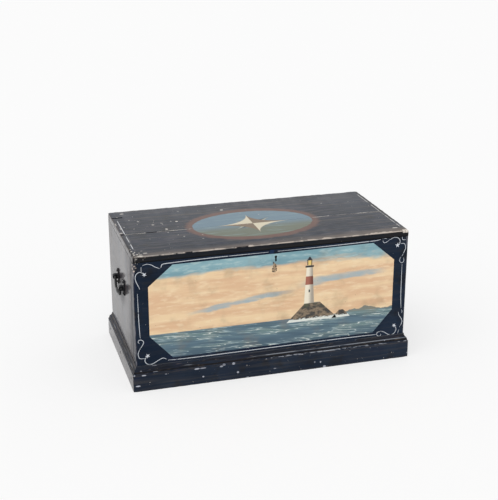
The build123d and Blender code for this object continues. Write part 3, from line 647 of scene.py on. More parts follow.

# %% [markdown]
# ### Case paint and the bare wood inside
# The case's boards are painted outside and left as planed pine inside. Each board is one solid, so
# the two finishes meet in one material: a mask from the inner faces turns the paint into wood. The
# end boards kept their varnish and shine like glass; the front was rubbed more matt. The corner at
# the front left is chipped, with a painted shadow beside it under the lid's corner, and the dark
# patch round each handle is partly grime from hands and partly a painted shadow of the handle.

# %% Case paint
CORNER_CHIPS = [
    (-4, 208.5, 3.0, 1.2, 0.9), (-14, 204, 2.4, 1.6, 0.5), (-2, 203, 2.4, 2.0, 0.9),
    (1.5, 199, 1.6, 1.4, 0.8), (-9, 200, 3.0, 0.9, 0.4), (2.5, 207, 1.8, 1.0, 0.6),
    (-1, 193, 1.4, 2.4, 0.5), (4.5, 204, 1.4, 1.0, 0.4),
]
# Centre of the dark patch round each handle: grime, and a painted shadow of the handle.
HANDLE_SHADE_AND_GRIME = (0.0, 8 * MM, 130 * MM)


def bare_pine(name, grain):
    finish = Finish(name, grain)
    finish.colour, height = pine(finish)
    return finish.settle(0.62, height, 0.15 * MM)


def case_wear_and_shade(finish, end_face):
    """Frayed arrises, partly a painted highlight, chips, brown ends and a painted shadow of the joint at
    the rim. Gives back the dark band at the front left, a painted shadow under the lid's corner.
    """
    x, y, z = finish.place
    behind = y - CASE_FRONT
    # A pale frayed line down the front upright arrises: partly worn paint, partly a painted highlight.
    inwards = CASE_HIGH[0] - abs(x) + behind - z.step(185 * MM, 205 * MM) * (2.2 * MM)
    frayed = finish.noise((0.004, 0.004, 0.03), 4, 71.0).step(0.46, 0.58)
    finish.coat("8f8d96", inwards.step(1.3 * MM, 0.7 * MM) * frayed * 0.7)
    corner = finish.far((CASE_LOW[0], CASE_FRONT, CASE_HIGH[2])).step(22 * MM, 2 * MM)
    finish.coat(CHIP, (finish.noise(0.003, 3, 61.0) + corner * 0.155).step(0.765, 0.78))
    patch = x.within(-8.5 * MM, -2 * MM, 0.4 * MM) * z.step(203 * MM, 205 * MM)
    finish.coat("1c2f4c", patch * y.step(0.0, -1 * MM))
    ageing = finish.noise((0.02, 0.012, 0.05), 5, 63.0).step(0.15, 0.85) * 0.65
    finish.coat("52433b", end_face * ageing * y.step(-108 * MM, -80 * MM))
    beside = x - CASE_LOW[0] - behind
    forward = y.step(CASE_FRONT + 16 * MM, CASE_FRONT + 10 * MM)
    nibbled = finish.noise((0.004, 0.01, 0.005), 4, 77.0)
    # A dark band on the left end under the lid's front corner: a painted shadow of the lid, nibbled at
    # its edge.
    band = beside.within(-18 * MM, 0.0, 3 * MM) * z.step(190 * MM, 202 * MM) * forward
    band = band * nibbled.step(0.35, 0.5)
    finish.coat("0b0b0f", band * 0.85)
    finish.coat("cdbfb2", finish.marks(beside, z, CORNER_CHIPS, nibbled - 0.5) * forward)
    # The case's rim is painted near black: a painted shadow of the joint under the lid.
    rim = z.step(CASE_HIGH[2] - 1.7 * MM, CASE_HIGH[2] - 0.8 * MM)
    finish.coat(JOINT_SHADE, finish.upright() * rim)
    return band


def case_varnish(finish, smear, grime_and_shade, band):
    """How much varnish is left on an end board: least at the front, in a seam and in scuffs."""
    y, z = finish.place[1:]
    kept = y.step(-112 * MM, -30 * MM) * 0.38 + 0.28
    kept = kept - smear.step(0.5, 0.78) * 0.4
    kept = kept - finish.noise((0.004, 0.03, 0.004), 4, 35.0).step(0.56, 0.72) * 0.22
    seam = (y + (smear - 0.5) * (6 * MM)).within(-94 * MM, -88 * MM, 1.5 * MM)
    kept = kept - seam * z.step(215 * MM, 150 * MM)
    kept = kept - y.step(-30 * MM, 50 * MM) * z.step(100 * MM, 170 * MM) * 0.1
    return finish.most(kept, 0.0) * (1.0 - finish.most(grime_and_shade, band))


def case_paint(name, grain):
    """A case board's finish: worn paint outside and pine inside."""
    finish = Finish(name, grain)
    x, y = finish.place[:2]
    high = (CASE_HIGH[0], CASE_HIGH[1], CASE_HIGH[2] + 30 * MM)
    low = (CASE_LOW[0], CASE_FRONT, 0.0)
    end_face = finish.on_end()
    dusty = 0.14 + end_face * 0.5
    bare, height = old_paint(finish, low, high, dusty, chips=0.0, wear=0.6, worn_share=0.15)
    band = case_wear_and_shade(finish, end_face)
    wood, wood_height = pine(finish)
    inside = finish.least(INNER_X - abs(x), INNER_Y - abs(y)).step(-0.5 * MM, -0.2 * MM)
    outside = 1.0 - inside
    finish.coat(wood, inside)
    height = height * outside + wood_height * inside
    rough = 0.4 + finish.most(bare * 0.4, inside) * 0.25
    smear = finish.noise((0.03, 0.011, 0.09), 5, 33.0)
    # A dark patch round the handle: partly grime from hands, partly a painted shadow of the handle.
    about = finish.far(HANDLE_SHADE_AND_GRIME, (0, 1, 1.8)) + (smear - 0.5) * (20 * MM)
    grime_and_shade = about.step(60 * MM, 14 * MM) * 0.75 * end_face * outside
    finish.coat("0c0b0f", grime_and_shade)
    varnish = end_face * case_varnish(finish, smear, grime_and_shade, band) * (1.0 - finish.most(inside, bare))
    return finish.settle(rough, height, 0.15 * MM, varnish, IOR=1.18, Coat_IOR=1.5, Coat_Roughness=0.1)


long_board_paint = case_paint("long_board_paint", "x")
end_board_paint = case_paint("end_board_paint", "y")
pine_x = bare_pine("bare_pine_along", "x")
pine_y = bare_pine("bare_pine_across", "y")
print("case finishes:", long_board_paint.name, end_board_paint.name)

# %% [markdown]
# ### Plinth paint
# The plinth takes the knocks, so its arris under the moulding has lost its paint in a broken line
# of white chips, and more are scattered over its face. Dirt and wear run along the moulding in
# fine lines. The quirk's dark line is painted shade, the moulding is painted darker, partly dirt
# and partly painted shade where it faces up, and pale threads along it are partly wear and partly
# painted highlights. The plinth's ends share the varnish of the end boards.

# %% Plinth paint
PLINTH_CHIPS = [
    (-130, 27, 4.2, 1.3, 0.8), (-120, 27, 5.0, 1.0, 0.6), (-90, 26, 2.6, 1.4, 0.6),
    (-86, 28, 2.4, 1.4, 0.7), (-70, 28, 2.6, 1.5, 1.0), (-63, 12, 1.8, 1.7, 0.8),
    (-120, 12, 1.9, 1.5, 0.9), (-1, 10, 2.4, 0.8, 0.5), (67, 12, 1.3, 1.5, 0.4),
    (77, 11, 1.2, 1.8, 0.8), (84, 2, 2.8, 1.6, 0.8), (-47, 1, 2.0, 1.0, 0.4),
    (-215, 27, 3.8, 1.1, 0.9), (-225, 10, 3.6, 1.1, 1.0), (-197, 39.6, 4.4, 0.7, 0.5),
    (-196, 30.5, 4.4, 0.6, 0.5), (-230, 28, 1.7, 1.2, 0.8), (-231, 39, 1.2, 1.3, 0.5),
    (-219, 34, 1.8, 0.7, 0.4), (-180, 25, 2.4, 0.8, 0.5), (233, 32, 1.3, 1.5, 0.6),
    (233.5, 22, 0.9, 2.2, 0.4), (231, 7, 1.6, 1.2, 0.4), (226, 29, 2.4, 0.7, 0.5),
]
PLINTH_CHIP = "bcc0cc"
PLINTH_ARRIS = PLINTH_HIGH[2]


def plinth_paint(name, grain, varnish):
    """The plinth's finish: a chipped arris, lines of dirt and painted shade in the moulding, pale
    threads partly painted highlights, and loose chips.
    """
    finish = Finish(name, grain)
    x, y, z = finish.place
    bare, height = old_paint(finish, PLINTH_LOW, PLINTH_HIGH, 0.34, chips=0.35, wear=0.4, worn_share=0.5)
    arris = abs(z - (PLINTH_ARRIS - 0.6 * MM))
    broken = finish.grained(0.009, 0.0025, 5, 31.0)
    lasting = finish.grained(0.05, 0.004, 5, 47.0)
    sparse = finish.grained(0.07, 0.02, 2, 49.0)
    finish.coat("4a4440", arris.step(5 * MM, 1 * MM) * broken.step(0.42, 0.6) * 0.35)
    lines = finish.noise((0.05, 0.05, 0.0011), 2, 37.0)
    groove = z.step(PLINTH_ARRIS + 0.4 * MM, PLINTH_ARRIS + 1.2 * MM)
    quirk_shade = z.step(PLINTH_ARRIS + 3.2 * MM, PLINTH_ARRIS + 2.2 * MM)
    # Dark lines in the moulding: dirt in fine lines, and the quirk's dark line, which is painted shade.
    finish.coat("06080c", groove * (finish.most(lines.step(0.5, 0.7), quirk_shade) * 0.8))
    shown = broken + (sparse - 0.5) * 0.5 - x.step(-20 * MM, -60 * MM) * 0.2
    chipped = arris.step(1.1 * MM, 0.5 * MM) * shown.step(0.48, 0.58)
    finish.coat("a9aeb8", chipped * (0.35 + sparse * 0.6))
    crown = z.step(PLINTH_CROWN - 1.6 * MM, PLINTH_CROWN - 0.9 * MM)
    finish.coat("8a919c", crown * (lasting.step(0.35, 0.6) * 0.35))

    board = z.step(PLINTH_ARRIS + 0.3 * MM, PLINTH_ARRIS - 0.5 * MM)
    moulding = 1.0 - board
    end_face = finish.on_end(0.85, 0.97)
    finish.coat("6a625e", end_face * board * 0.45)
    # The moulding is painted darker, more on the ends: partly dirt, partly painted shade where it faces
    # up.
    finish.coat("1d1714", moulding * (0.55 + end_face * 0.4) * lasting.step(0.3, 0.6))
    # Pale threads along the moulding on the ends: partly wear, partly painted glints on its profile.
    stripes = finish.noise((0.0012, 0.12, 0.0012), 2, 75.0).step(0.5, 0.66)
    finish.coat("77675b", end_face * moulding * stripes * 0.5)
    dashes = broken.step(0.56, 0.66) * lines.step(0.5, 0.62)
    finish.coat("6b6058", dashes * moulding * 0.5)
    lip = abs(z - (PLINTH_ARRIS + 4.6 * MM)).step(0.7 * MM, 0.3 * MM)
    thread = (lasting + x.step(-190 * MM, 150 * MM) * 0.2).step(0.56, 0.68)
    finish.coat("a9afb8", lip * thread * 0.55)

    knock = finish.grained(0.0075, 0.0045, 3, 43.0)
    scattered = (knock + arris.step(6 * MM, 1 * MM) * 0.03).step(0.745, 0.76)
    placed = finish.marks(x, z, PLINTH_CHIPS, (broken - 0.5) * 2.4) * finish.on_front()
    finish.coat(PLINTH_CHIP, finish.most(scattered, placed))
    # A pale frayed line down the plinth's front upright arrises: partly worn paint, partly a painted
    # highlight.
    inwards = PLINTH_HIGH[0] - abs(x) + (y - PLINTH_LOW[1])
    frayed = finish.noise((0.004, 0.004, 0.01), 4, 73.0).step(0.5, 0.6)
    finish.coat("9b9aa4", inwards.step(1.6 * MM, 0.8 * MM) * frayed * 0.7)
    scuffs = finish.noise((0.02, 0.05, 0.006), 5, 65.0).step(0.5, 0.75) * 0.35
    glossy = end_face * board * (varnish - scuffs) * (1.0 - bare)
    rough = 0.4 + bare * 0.3
    return finish.settle(rough, height, 0.2 * MM, glossy, IOR=1.22, Coat_IOR=1.5, Coat_Roughness=0.12)


plinth_long_paint = plinth_paint("plinth_long_paint", "x", 0.0)
plinth_short_paint = plinth_paint("plinth_short_paint", "y", 0.75)
print("plinth finishes:", plinth_long_paint.name, plinth_short_paint.name)

# %% [markdown]
# ### Iron
# The handles are black iron. Their plates were varnished with the boards, and that varnish is left
# on the flat faces only. The hinges and the lock are plain wrought iron with a brown bloom of rust,
# and the nails and screws are the same iron, duller.

# %% Iron
def iron(name, ground, rust, rust_share, roughness, metallic):
    """Old iron: a mottled ground, patches of rust and a pitted surface."""
    finish = Finish(name)
    mottle = finish.noise(0.006, 4)
    pits = finish.noise(0.0012, 3, 5.0)
    patches = finish.noise(0.012, 4, 9.0)
    rusty = patches.step(0.62 - 0.2 * rust_share, 0.72) * rust_share
    finish.colour = finish.mix(mottle.step(0.3, 0.7) * 0.5, ground, "4a4a4c")
    finish.coat(rust, rusty)
    rough = roughness + finish.most(rusty, pits) * 0.3
    return finish.settle(rough, pits, 0.12 * MM, Metallic=metallic)


def varnished_iron(name):
    """Black iron under the boards' own varnish, which stays bright on the flat faces only."""
    finish = Finish(name)
    mottle = finish.noise(0.006, 4)
    pits = finish.noise(0.0012, 3, 5.0)
    finish.colour = finish.mix(mottle.step(0.35, 0.7), "0d1016", "1b1d22")
    finish.coat("3a2c24", pits.step(0.66, 0.74))
    flat = finish.on_end(0.62, 0.95)
    dusty = flat * (0.25 + mottle.step(0.4, 0.65) * 0.4)
    finish.coat(VARNISH_HAZE, dusty)
    rough = 0.3 + pits * 0.2
    varnish = flat * 0.66
    return finish.settle(rough, pits, 0.04 * MM, varnish, IOR=1.25, Coat_IOR=1.5, Coat_Roughness=0.12)


handle_iron = iron("handle_iron", "0c0c0e", "33221a", 0.25, 0.34, 0.2)
plate_iron = varnished_iron("plate_iron")
hinge_iron = iron("hinge_iron", "3a3836", "5a3420", 0.6, 0.42, 0.8)
lock_iron = iron("lock_iron", "5b5a58", "6a4128", 0.35, 0.38, 0.9)
spring_steel = iron("spring_steel", "77797c", "5a3420", 0.1, 0.25, 0.95)
nail_iron = iron("nail_iron", "34302d", "613a25", 0.7, 0.5, 0.6)
print("iron finishes ready")

# %% [markdown]
# ### The sea picture's paint
# A plain seascape in the flat manner of a ship's painter: a cream evening sky under teal cloud,
# thin blue streaks, and a teal sea with pale wave lines. Sky, cloud and sea are bands of height,
# pushed up and down by stretched noise so that no edge is straight, and the low hills on the
# horizon are one more band. Dirt, specks of bare undercoat and a worn patch under the keyhole lie
# over it all. The keyhole's plate is painted with it, apart from the plate's top, which stands above
# the picture and has the dark tone of the board.

# %% Sea picture paint
HORIZON = 91 * MM
PICTURE_TOP = 204.8 * MM
KEYPLATE_LOW, KEYPLATE_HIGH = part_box("keyhole_escutcheon")
KEYPLATE = (KEYPLATE_LOW + KEYPLATE_HIGH) / 2
SKY_STREAKS = (
    (0.12, 137 * MM, 6 * MM, -150 * MM, 40 * MM),
    (0.05, 150 * MM, 9 * MM, 30 * MM, 196 * MM),
)
SKY_CREAM = "eed1a9"
SKY_PINK = "e0ba95"
SKY_PALE = "f4ddb9"
CLOUD = "8db1b9"
CLOUD_DARK = "799faa"
CLOUD_PALE = "b0c8c8"
STREAK_BLUE = "a5b4b8"
SEA = "5f7886"
SEA_GREEN = "71898a"
SEA_DARK = "485d6d"
WAVE = "a9bcc0"
CREST = "dfe3dc"


def sea_paint():
    """The picture's paint. Each sky streak has a tilt, a height, half a width and its two ends."""
    finish = Finish("sea_paint")
    x, _, z = finish.place
    broad = finish.noise((0.13, 0.13, 0.03), 3)
    drift = finish.noise((0.09, 0.09, 0.012), 4, 3.0)
    daub = finish.noise((0.018, 0.018, 0.005), 4, 6.0)
    sky = finish.mix(drift.step(0.35, 0.65), SKY_CREAM, SKY_PINK)
    sky = sky.coated(SKY_PALE, daub.step(0.5, 0.72) * 0.6)
    lift = (broad - 0.5) * (34 * MM) + (daub - 0.5) * (9 * MM)
    height = z + lift
    cloud = finish.mix(drift.step(0.4, 0.62), CLOUD, CLOUD_DARK)
    cloud = cloud.coated(CLOUD_PALE, daub.step(0.5, 0.7) * 0.7)
    sky = sky.coated(cloud, height.step(181 * MM, 190 * MM))
    for tilt, at, half, west, east in SKY_STREAKS:
        away = abs(height - (x * tilt + at))
        ends = x.step(west, west + 50 * MM) * x.step(east, east - 40 * MM)
        band = away.step(half, half * 0.3) * ends * (daub + 0.4)
        sky = sky.coated(STREAK_BLUE, band)
    rise = finish.noise((0.045, 1.0, 1.0), 4, 2.0).step(0.4, 0.75) * (11 * MM)
    ashore = x.step(40 * MM, 90 * MM) * rise
    hill = (z - HORIZON).step(ashore, ashore - 0.8 * MM)
    sky = sky.coated(finish.mix(daub, "8a8f86", "6d7a78"), hill)
    leaning = finish.add("ShaderNodeVectorRotate", rotation_type="Y_AXIS")
    finish.feed(finish.spot, leaning.inputs["Vector"])
    leaning.inputs["Angle"].default_value = math.radians(-5)
    chop = finish.noise((0.055, 0.055, 0.0042), 2.2, spot=Value(finish, leaning.outputs[0]))
    swell = finish.noise((0.075, 0.075, 0.011), 3, 12.0)
    sea = finish.mix(swell.step(0.35, 0.65), SEA, SEA_GREEN)
    sea = sea.coated(SEA_DARK, (z + swell * (30 * MM)).step(84 * MM, 58 * MM))
    sea = sea.coated(SEA_DARK, chop.step(0.55, 0.35) * 0.6)
    line = abs(chop - 0.53)
    waves = line.step(0.028, 0.008) * swell.step(0.4, 0.5)
    sea = sea.coated(WAVE, waves * 0.8)
    crests = line.step(0.016, 0.004) * swell.step(0.5, 0.56)
    sea = sea.coated(CREST, crests * z.step(90 * MM, 82 * MM))
    shore = z + daub * (1.2 * MM)
    finish.colour = sky.coated(sea, shore.step(HORIZON + 0.9 * MM, HORIZON + 0.3 * MM))
    dirt = finish.noise(0.03, 5, 15.0)
    finish.coat("8b7a62", dirt.step(0.5, 0.8) * 0.35)
    speck = finish.noise(0.003, 4, 18.0)
    worn_x = ((x + 1 * MM) / (3.2 * MM)) ** 2.0
    worn_z = ((z - 181.5 * MM) / (9 * MM)) ** 2.0
    worn = worn_x + worn_z + (speck - 0.5) * 6.0
    flaked = finish.mix(speck.step(0.42, 0.46), "3c2c24", "a08a70")
    finish.coat(flaked, worn.step(1.1, 0.9))
    finish.coat(UNDERCOAT, speck.step(0.73, 0.76))
    beside = abs(x - KEYPLATE[0]).step(9 * MM, 8 * MM)
    above = beside * z.step(PICTURE_TOP - 0.3 * MM, PICTURE_TOP + 0.3 * MM)
    finish.coat("080d17", above)
    return finish.settle(0.5, daub + speck, 0.12 * MM, IOR=1.3)


picture_paint = sea_paint()
print("sea picture paint:", len(picture_paint.node_tree.nodes), "nodes")

# %% [markdown]
# ### Line white
# The line work is thin bluish white, drawn with a long-haired brush. It has worn through in places,
# where the dark ground shows.

# %% Line white
def line_white():
    finish = Finish("line_white")
    thin = finish.noise(0.006, 4)
    finish.colour = finish.mix(thin.step(0.6, 0.74), "d0d5dc", "5a6373")
    return finish.settle(0.45, thin, 0.05 * MM, IOR=1.3)


stripe_white = line_white()

# %% [markdown]
# Each construction node keeps its own mesh and takes its finish through its material slots.

# %% Dress the construction nodes
DRESS = {
    "lid_front_plank lid_rear_plank": lid_plank_paint,
    "lid_left_end_strip lid_right_end_strip lid_strip_nails": lid_strip_paint,
    "front_board back_board": long_board_paint,
    "left_end_board right_end_board": end_board_paint,
    "plinth_front plinth_back plinth_nails": plinth_long_paint,
    "plinth_left plinth_right": plinth_short_paint,
    "bottom_front_plank bottom_rear_plank": pine_x,
    "lid_left_cleat lid_right_cleat": pine_y,
    "left_handle_front_plate left_handle_rear_plate handle_screws": plate_iron,
    "right_handle_front_plate right_handle_rear_plate": plate_iron,
    "left_handle_bail right_handle_bail": handle_iron,
    "left_hinge_case_leaf right_hinge_case_leaf left_hinge_lid_leaf right_hinge_lid_leaf": hinge_iron,
    "left_hinge_pin right_hinge_pin hinge_case_screws hinge_lid_screws": hinge_iron,
    "lock_plate lock_cap lock_bolt lid_strike lock_guide_posts lock_key_pin": lock_iron,
    "lock_screws strike_screws": lock_iron,
    "lock_bolt_spring": spring_steel,
    "bottom_nails cleat_screws": nail_iron,
    "keyhole_escutcheon escutcheon_pins": picture_paint,
}
for names, material in DRESS.items():
    for name in names.split():
        for slot in nodes[name].material_slots:
            slot.material = material
dressed = sum(len(names.split()) for names in DRESS)
print(dressed, "of", len(nodes), "nodes dressed")

# %% [markdown]
# ## Modelling
# The pieces below are modelled with Blender's own operators, which act on whatever is selected.
# These helpers select one piece, start a plate at its size, saw a piece along a plane, resize some
# of its corners, cut one piece out of another, join several, and say what a finished piece belongs
# to.

# %% Helpers for modelling
LYING = (math.pi / 2, 0, 0)


def clear_selection():
    """Nothing selected, and no edit mode left open."""
    if bpy.context.object and bpy.context.object.mode != "OBJECT":
        bpy.ops.object.mode_set(mode="OBJECT")
    bpy.ops.object.select_all(action="DESELECT")


def only(piece):
    """This piece alone selected and active."""
    clear_selection()
    piece.select_set(True)
    bpy.context.view_layer.objects.active = piece


def plate(name, low, high):
    """A new box between two corners, with its place in its mesh."""
    clear_selection()
    middle = [(a + b) / 2 for a, b in zip(low, high)]
    bpy.ops.mesh.primitive_cube_add(size=1, location=middle, scale=[b - a for a, b in zip(low, high)])
    piece = bpy.context.object
    piece.name = name
    bpy.ops.object.transform_apply(location=True, rotation=True, scale=True)
    return piece


def saw(piece, at, away):
    """Cuts off what lies past a plane, on the side that away points to, and closes the cut."""
    only(piece)
    bpy.ops.object.mode_set(mode="EDIT")
    bpy.ops.mesh.select_all(action="SELECT")
    bpy.ops.mesh.bisect(plane_co=at, plane_no=away, use_fill=True, clear_outer=True)
    bpy.ops.object.mode_set(mode="OBJECT")


def resize(piece, share, centre, picked=lambda vertex: True):
    """Resizes a piece about a centre, or only the corners that are picked."""
    only(piece)
    bpy.ops.object.mode_set(mode="EDIT")
    bpy.ops.mesh.select_mode(type="VERT")
    bpy.ops.mesh.select_all(action="DESELECT")
    bpy.ops.object.mode_set(mode="OBJECT")
    for vertex in piece.data.vertices:
        vertex.select = picked(vertex)
    bpy.ops.object.mode_set(mode="EDIT")
    bpy.ops.transform.resize(value=share, center_override=centre)
    bpy.ops.object.mode_set(mode="OBJECT")


def cut_out(piece, tool, name):
    """Cuts a tool's shape out of a piece and takes the tool away."""
    only(piece)
    cut = piece.modifiers.new(name, "BOOLEAN")
    cut.operation = "DIFFERENCE"
    cut.solver = "EXACT"
    cut.object = tool
    bpy.ops.object.modifier_apply(modifier=cut.name)
    bpy.data.objects.remove(tool)


def joined(pieces, name):
    """One piece made of several."""
    only(pieces[0])
    for piece in pieces:
        piece.select_set(True)
    bpy.ops.object.join()
    whole = bpy.context.object
    whole.name = name
    whole.data.name = name
    return whole


def belongs(piece, body, slot, finish, *stands_for):
    """The piece's finish, the body that it rides on and the nodes that it stands for."""
    piece.data.materials.clear()
    piece.data.materials.append(finish)
    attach(piece, body)
    if stands_for:
        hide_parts(*stands_for)
    print(piece.name, "on the", body, len(piece.data.polygons), "faces")


# %% [markdown]
# ## Worn boards
# A lid that has been carried for years has no straight arris left. A copy of each lid board and
# plinth length is therefore cut into short lengths by bisect planes, its corners are gathered in a
# vertex group, and a Displace modifier on that group pushes them inwards by a cloudy pattern. The
# boards only lose wood, so they stay inside the frame and their joints stay shut.

# %% Worn board
ARRIS_REACH = 4 * MM
CORNER_REACH = 8 * MM
ARRIS_DEPTH = 0.7 * MM
CORNER_DEPTH = 1.1 * MM
BESIDE = (0.8 * MM, 2 * MM, 4 * MM)
CLOUD_DETAIL = 3
CLOUD_CONTRAST = 2.2
UNDER_SHARE = 0.5


def near_arris(spot, low, high):
    """How far a spot is from the nearest arris of a box, and from its nearest corner."""
    insets = sorted(min(abs(c - a), abs(b - c)) for c, a, b in zip(spot, low, high))
    return insets[0] + insets[1], sum(insets)


def cut_up(piece, low, high, lengths):
    """Bisects a board every few millimetres, and closely beside its outer faces."""
    only(piece)
    bpy.ops.object.mode_set(mode="EDIT")
    bpy.ops.mesh.select_all(action="SELECT")
    bpy.ops.mesh.remove_doubles(threshold=0.01 * MM)
    bpy.ops.mesh.dissolve_limited(angle_limit=math.radians(0.5))
    for axis, length in enumerate(lengths):
        side = [0, 0, 0]
        side[axis] = 1
        places = [low[axis] + step for step in BESIDE] + [high[axis] - step for step in BESIDE]
        if length:
            count = round((high[axis] - low[axis]) / length)
            places += [low[axis] + (high[axis] - low[axis]) * i / count for i in range(1, count)]
        for place in places:
            at = [0, 0, 0]
            at[axis] = place
            bpy.ops.mesh.select_all(action="SELECT")
            bpy.ops.mesh.bisect(plane_co=at, plane_no=side)
    bpy.ops.object.mode_set(mode="OBJECT")


def wear_down(piece, group, size, depth):
    """Pushes the group's vertices inwards, by a cloudy pattern of the given size."""
    clouds = bpy.data.textures.new(piece.name + "_" + group, "CLOUDS")
    clouds.noise_scale = size
    clouds.noise_depth = CLOUD_DETAIL
    clouds.contrast = CLOUD_CONTRAST
    push = piece.modifiers.new(group, "DISPLACE")
    push.texture = clouds
    push.texture_coords = "LOCAL"
    push.vertex_group = group
    push.mid_level = 0
    push.strength = -depth
    only(piece)
    bpy.ops.object.modifier_apply(modifier=push.name)


def worn_board(node, low, high, lengths, body):
    """A worn copy of one board, which belongs to the slab between low and high."""
    source = nodes[node]
    piece = bpy.data.objects.new("worn_" + node, source.data.copy())
    bpy.context.scene.collection.objects.link(piece)
    cut_up(piece, low, high, lengths)
    arris = piece.vertex_groups.new(name="arris")
    corner = piece.vertex_groups.new(name="corner")
    for vertex in piece.data.vertices:
        from_arris, from_corner = near_arris(vertex.co, low, high)
        under = UNDER_SHARE if vertex.co.z < (low[2] + high[2]) / 2 else 1.0
        arris.add([vertex.index], under * max(0.0, 1 - from_arris / ARRIS_REACH), "REPLACE")
        corner.add([vertex.index], under * max(0.0, 1 - from_corner / CORNER_REACH), "REPLACE")
    wear_down(piece, "arris", 9 * MM, ARRIS_DEPTH)
    wear_down(piece, "corner", 5 * MM, CORNER_DEPTH)
    own_low, own_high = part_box(node)
    for vertex in piece.data.vertices:
        vertex.co = [min(max(c, a), b) for c, a, b in zip(vertex.co, own_low, own_high)]
    only(piece)
    bpy.ops.object.shade_smooth_by_angle(angle=math.radians(40))
    belongs(piece, body, "painted_pine", source.material_slots[0].material, node)
    return piece


print("dents up to", ARRIS_DEPTH / MM, "mm on an arris and", CORNER_DEPTH / MM, "mm more on a corner")

# %% [markdown]
# The lid's planks are cut up along X and its end strips along Y, every four millimetres. All four
# boards share one slab, so only the slab's outer arrises are worn, not the joints between them.

# %% Worn lid
ALONG_X = (4 * MM, 0, 0)
ALONG_Y = (0, 4 * MM, 0)
LID_BOARDS = {
    "lid_front_plank": ALONG_X,
    "lid_rear_plank": ALONG_X,
    "lid_left_end_strip": ALONG_Y,
    "lid_right_end_strip": ALONG_Y,
}
worn_lid = {node: worn_board(node, LID_LOW, LID_HIGH, way, "lid") for node, way in LID_BOARDS.items()}

# %% [markdown]
# ## Cracks in the lid
# Old boards shrink and split where they are nailed. Each crack is a thin plate that is cut out of
# the board with a Boolean modifier: two cracks and two small notches in the left end, and a short
# open gap in the joint of the planks. Corners are given in millimetres from the box's middle, and
# downwards from the lid's top.

# %% Cracks in the lid
SURFACE = LID_TOP / MM
front = worn_lid["lid_front_plank"]
rear = worn_lid["lid_rear_plank"]
strip = worn_lid["lid_left_end_strip"]
CRACKS = (
    ("rear_crack", (-224, 77.5), (-206, 81.5), 5, (strip, rear)),
    ("middle_crack", (-224.5, -10), (-217, -5.5), 6, (strip,)),
    ("first_notch", (-226, -88), (-223, -85), 2.4, (strip,)),
    ("second_notch", (-226, -107), (-222.8, -103), 2, (strip,)),
    ("joint_gap", (-184, -9.6), (-166, -6.6), 4, (front, rear)),
)
before = len(strip.data.polygons)
for name, (west, south), (east, north), depth, boards in CRACKS:
    low = (west * MM, south * MM, (SURFACE - depth) * MM)
    high = (east * MM, north * MM, (SURFACE + 1) * MM)
    for board in boards:
        cut_out(board, plate(name, low, high), name)
print("left strip:", before, "faces before its cracks,", len(strip.data.polygons), "after")

# %% [markdown]
# The four plinth lengths are worn in the same way, from the arris under the moulding downwards.

# %% Worn plinth
for side, way in (("front", ALONG_X), ("back", ALONG_X), ("left", ALONG_Y), ("right", ALONG_Y)):
    worn_board("plinth_" + side, PLINTH_LOW, PLINTH_HIGH, way, "case")

# %% [markdown]
# ## The sea picture
# The picture is a coat of paint on the front board: a tenth of a millimetre thick, with its four
# corners cut off. It starts as a flat plate at its size. Five bisect cuts, each along a line between
# two points, take off the corners and a little of the top, which was painted a touch out of level. A
# small oval is cut out where the escutcheon stands.

# %% Picture
PAINT_THICK = 0.12 * MM
PICTURE_LOW = (-202.5 * MM, CASE_FRONT - PAINT_THICK, 49 * MM)
PICTURE_HIGH = (202.0 * MM, CASE_FRONT + PAINT_THICK / 2, 207 * MM)
PICTURE_CUTS = (
    ((-202.5, 203.6), (202.0, 206.1)),
    ((-202.5, 171.0), (-160.0, 207.0)),
    ((163.5, 207.0), (202.0, 174.0)),
    ((202.0, 86.5), (169.5, 49.0)),
    ((-166.5, 49.0), (-202.5, 88.5)),
)
KEYPLATE_HOLE = (5.5 * MM, 9.5 * MM, 20 * MM)
picture = plate("sea_picture", PICTURE_LOW, PICTURE_HIGH)
for (x0, z0), (x1, z1) in PICTURE_CUTS:
    saw(picture, (x0 * MM, CASE_FRONT, z0 * MM), ((z0 - z1) * MM, 0, (x1 - x0) * MM))

clear_selection()
bpy.ops.mesh.primitive_cylinder_add(vertices=48, radius=1, depth=1, location=KEYPLATE, rotation=LYING)
hole = bpy.context.object
hole.scale = KEYPLATE_HOLE
cut_out(picture, hole, "escutcheon")
belongs(picture, "case", "painted_plate", picture_paint)

# %% [markdown]
# ## Lighthouse on its islet
# A lighthouse on a rock gives the sea picture its subject. It is one more thin coat on top: a
# tapered tower, a gallery, a lantern and its roof, each a plate shaped by a resize of its upper
# edge, and two rocks whose outline is sawn by a few planes. Joined, they are one painted piece.

# %% Islet paint
ISLET_FOOT = (60 * MM, 84 * MM)
ISLET_SCALE = 1.3


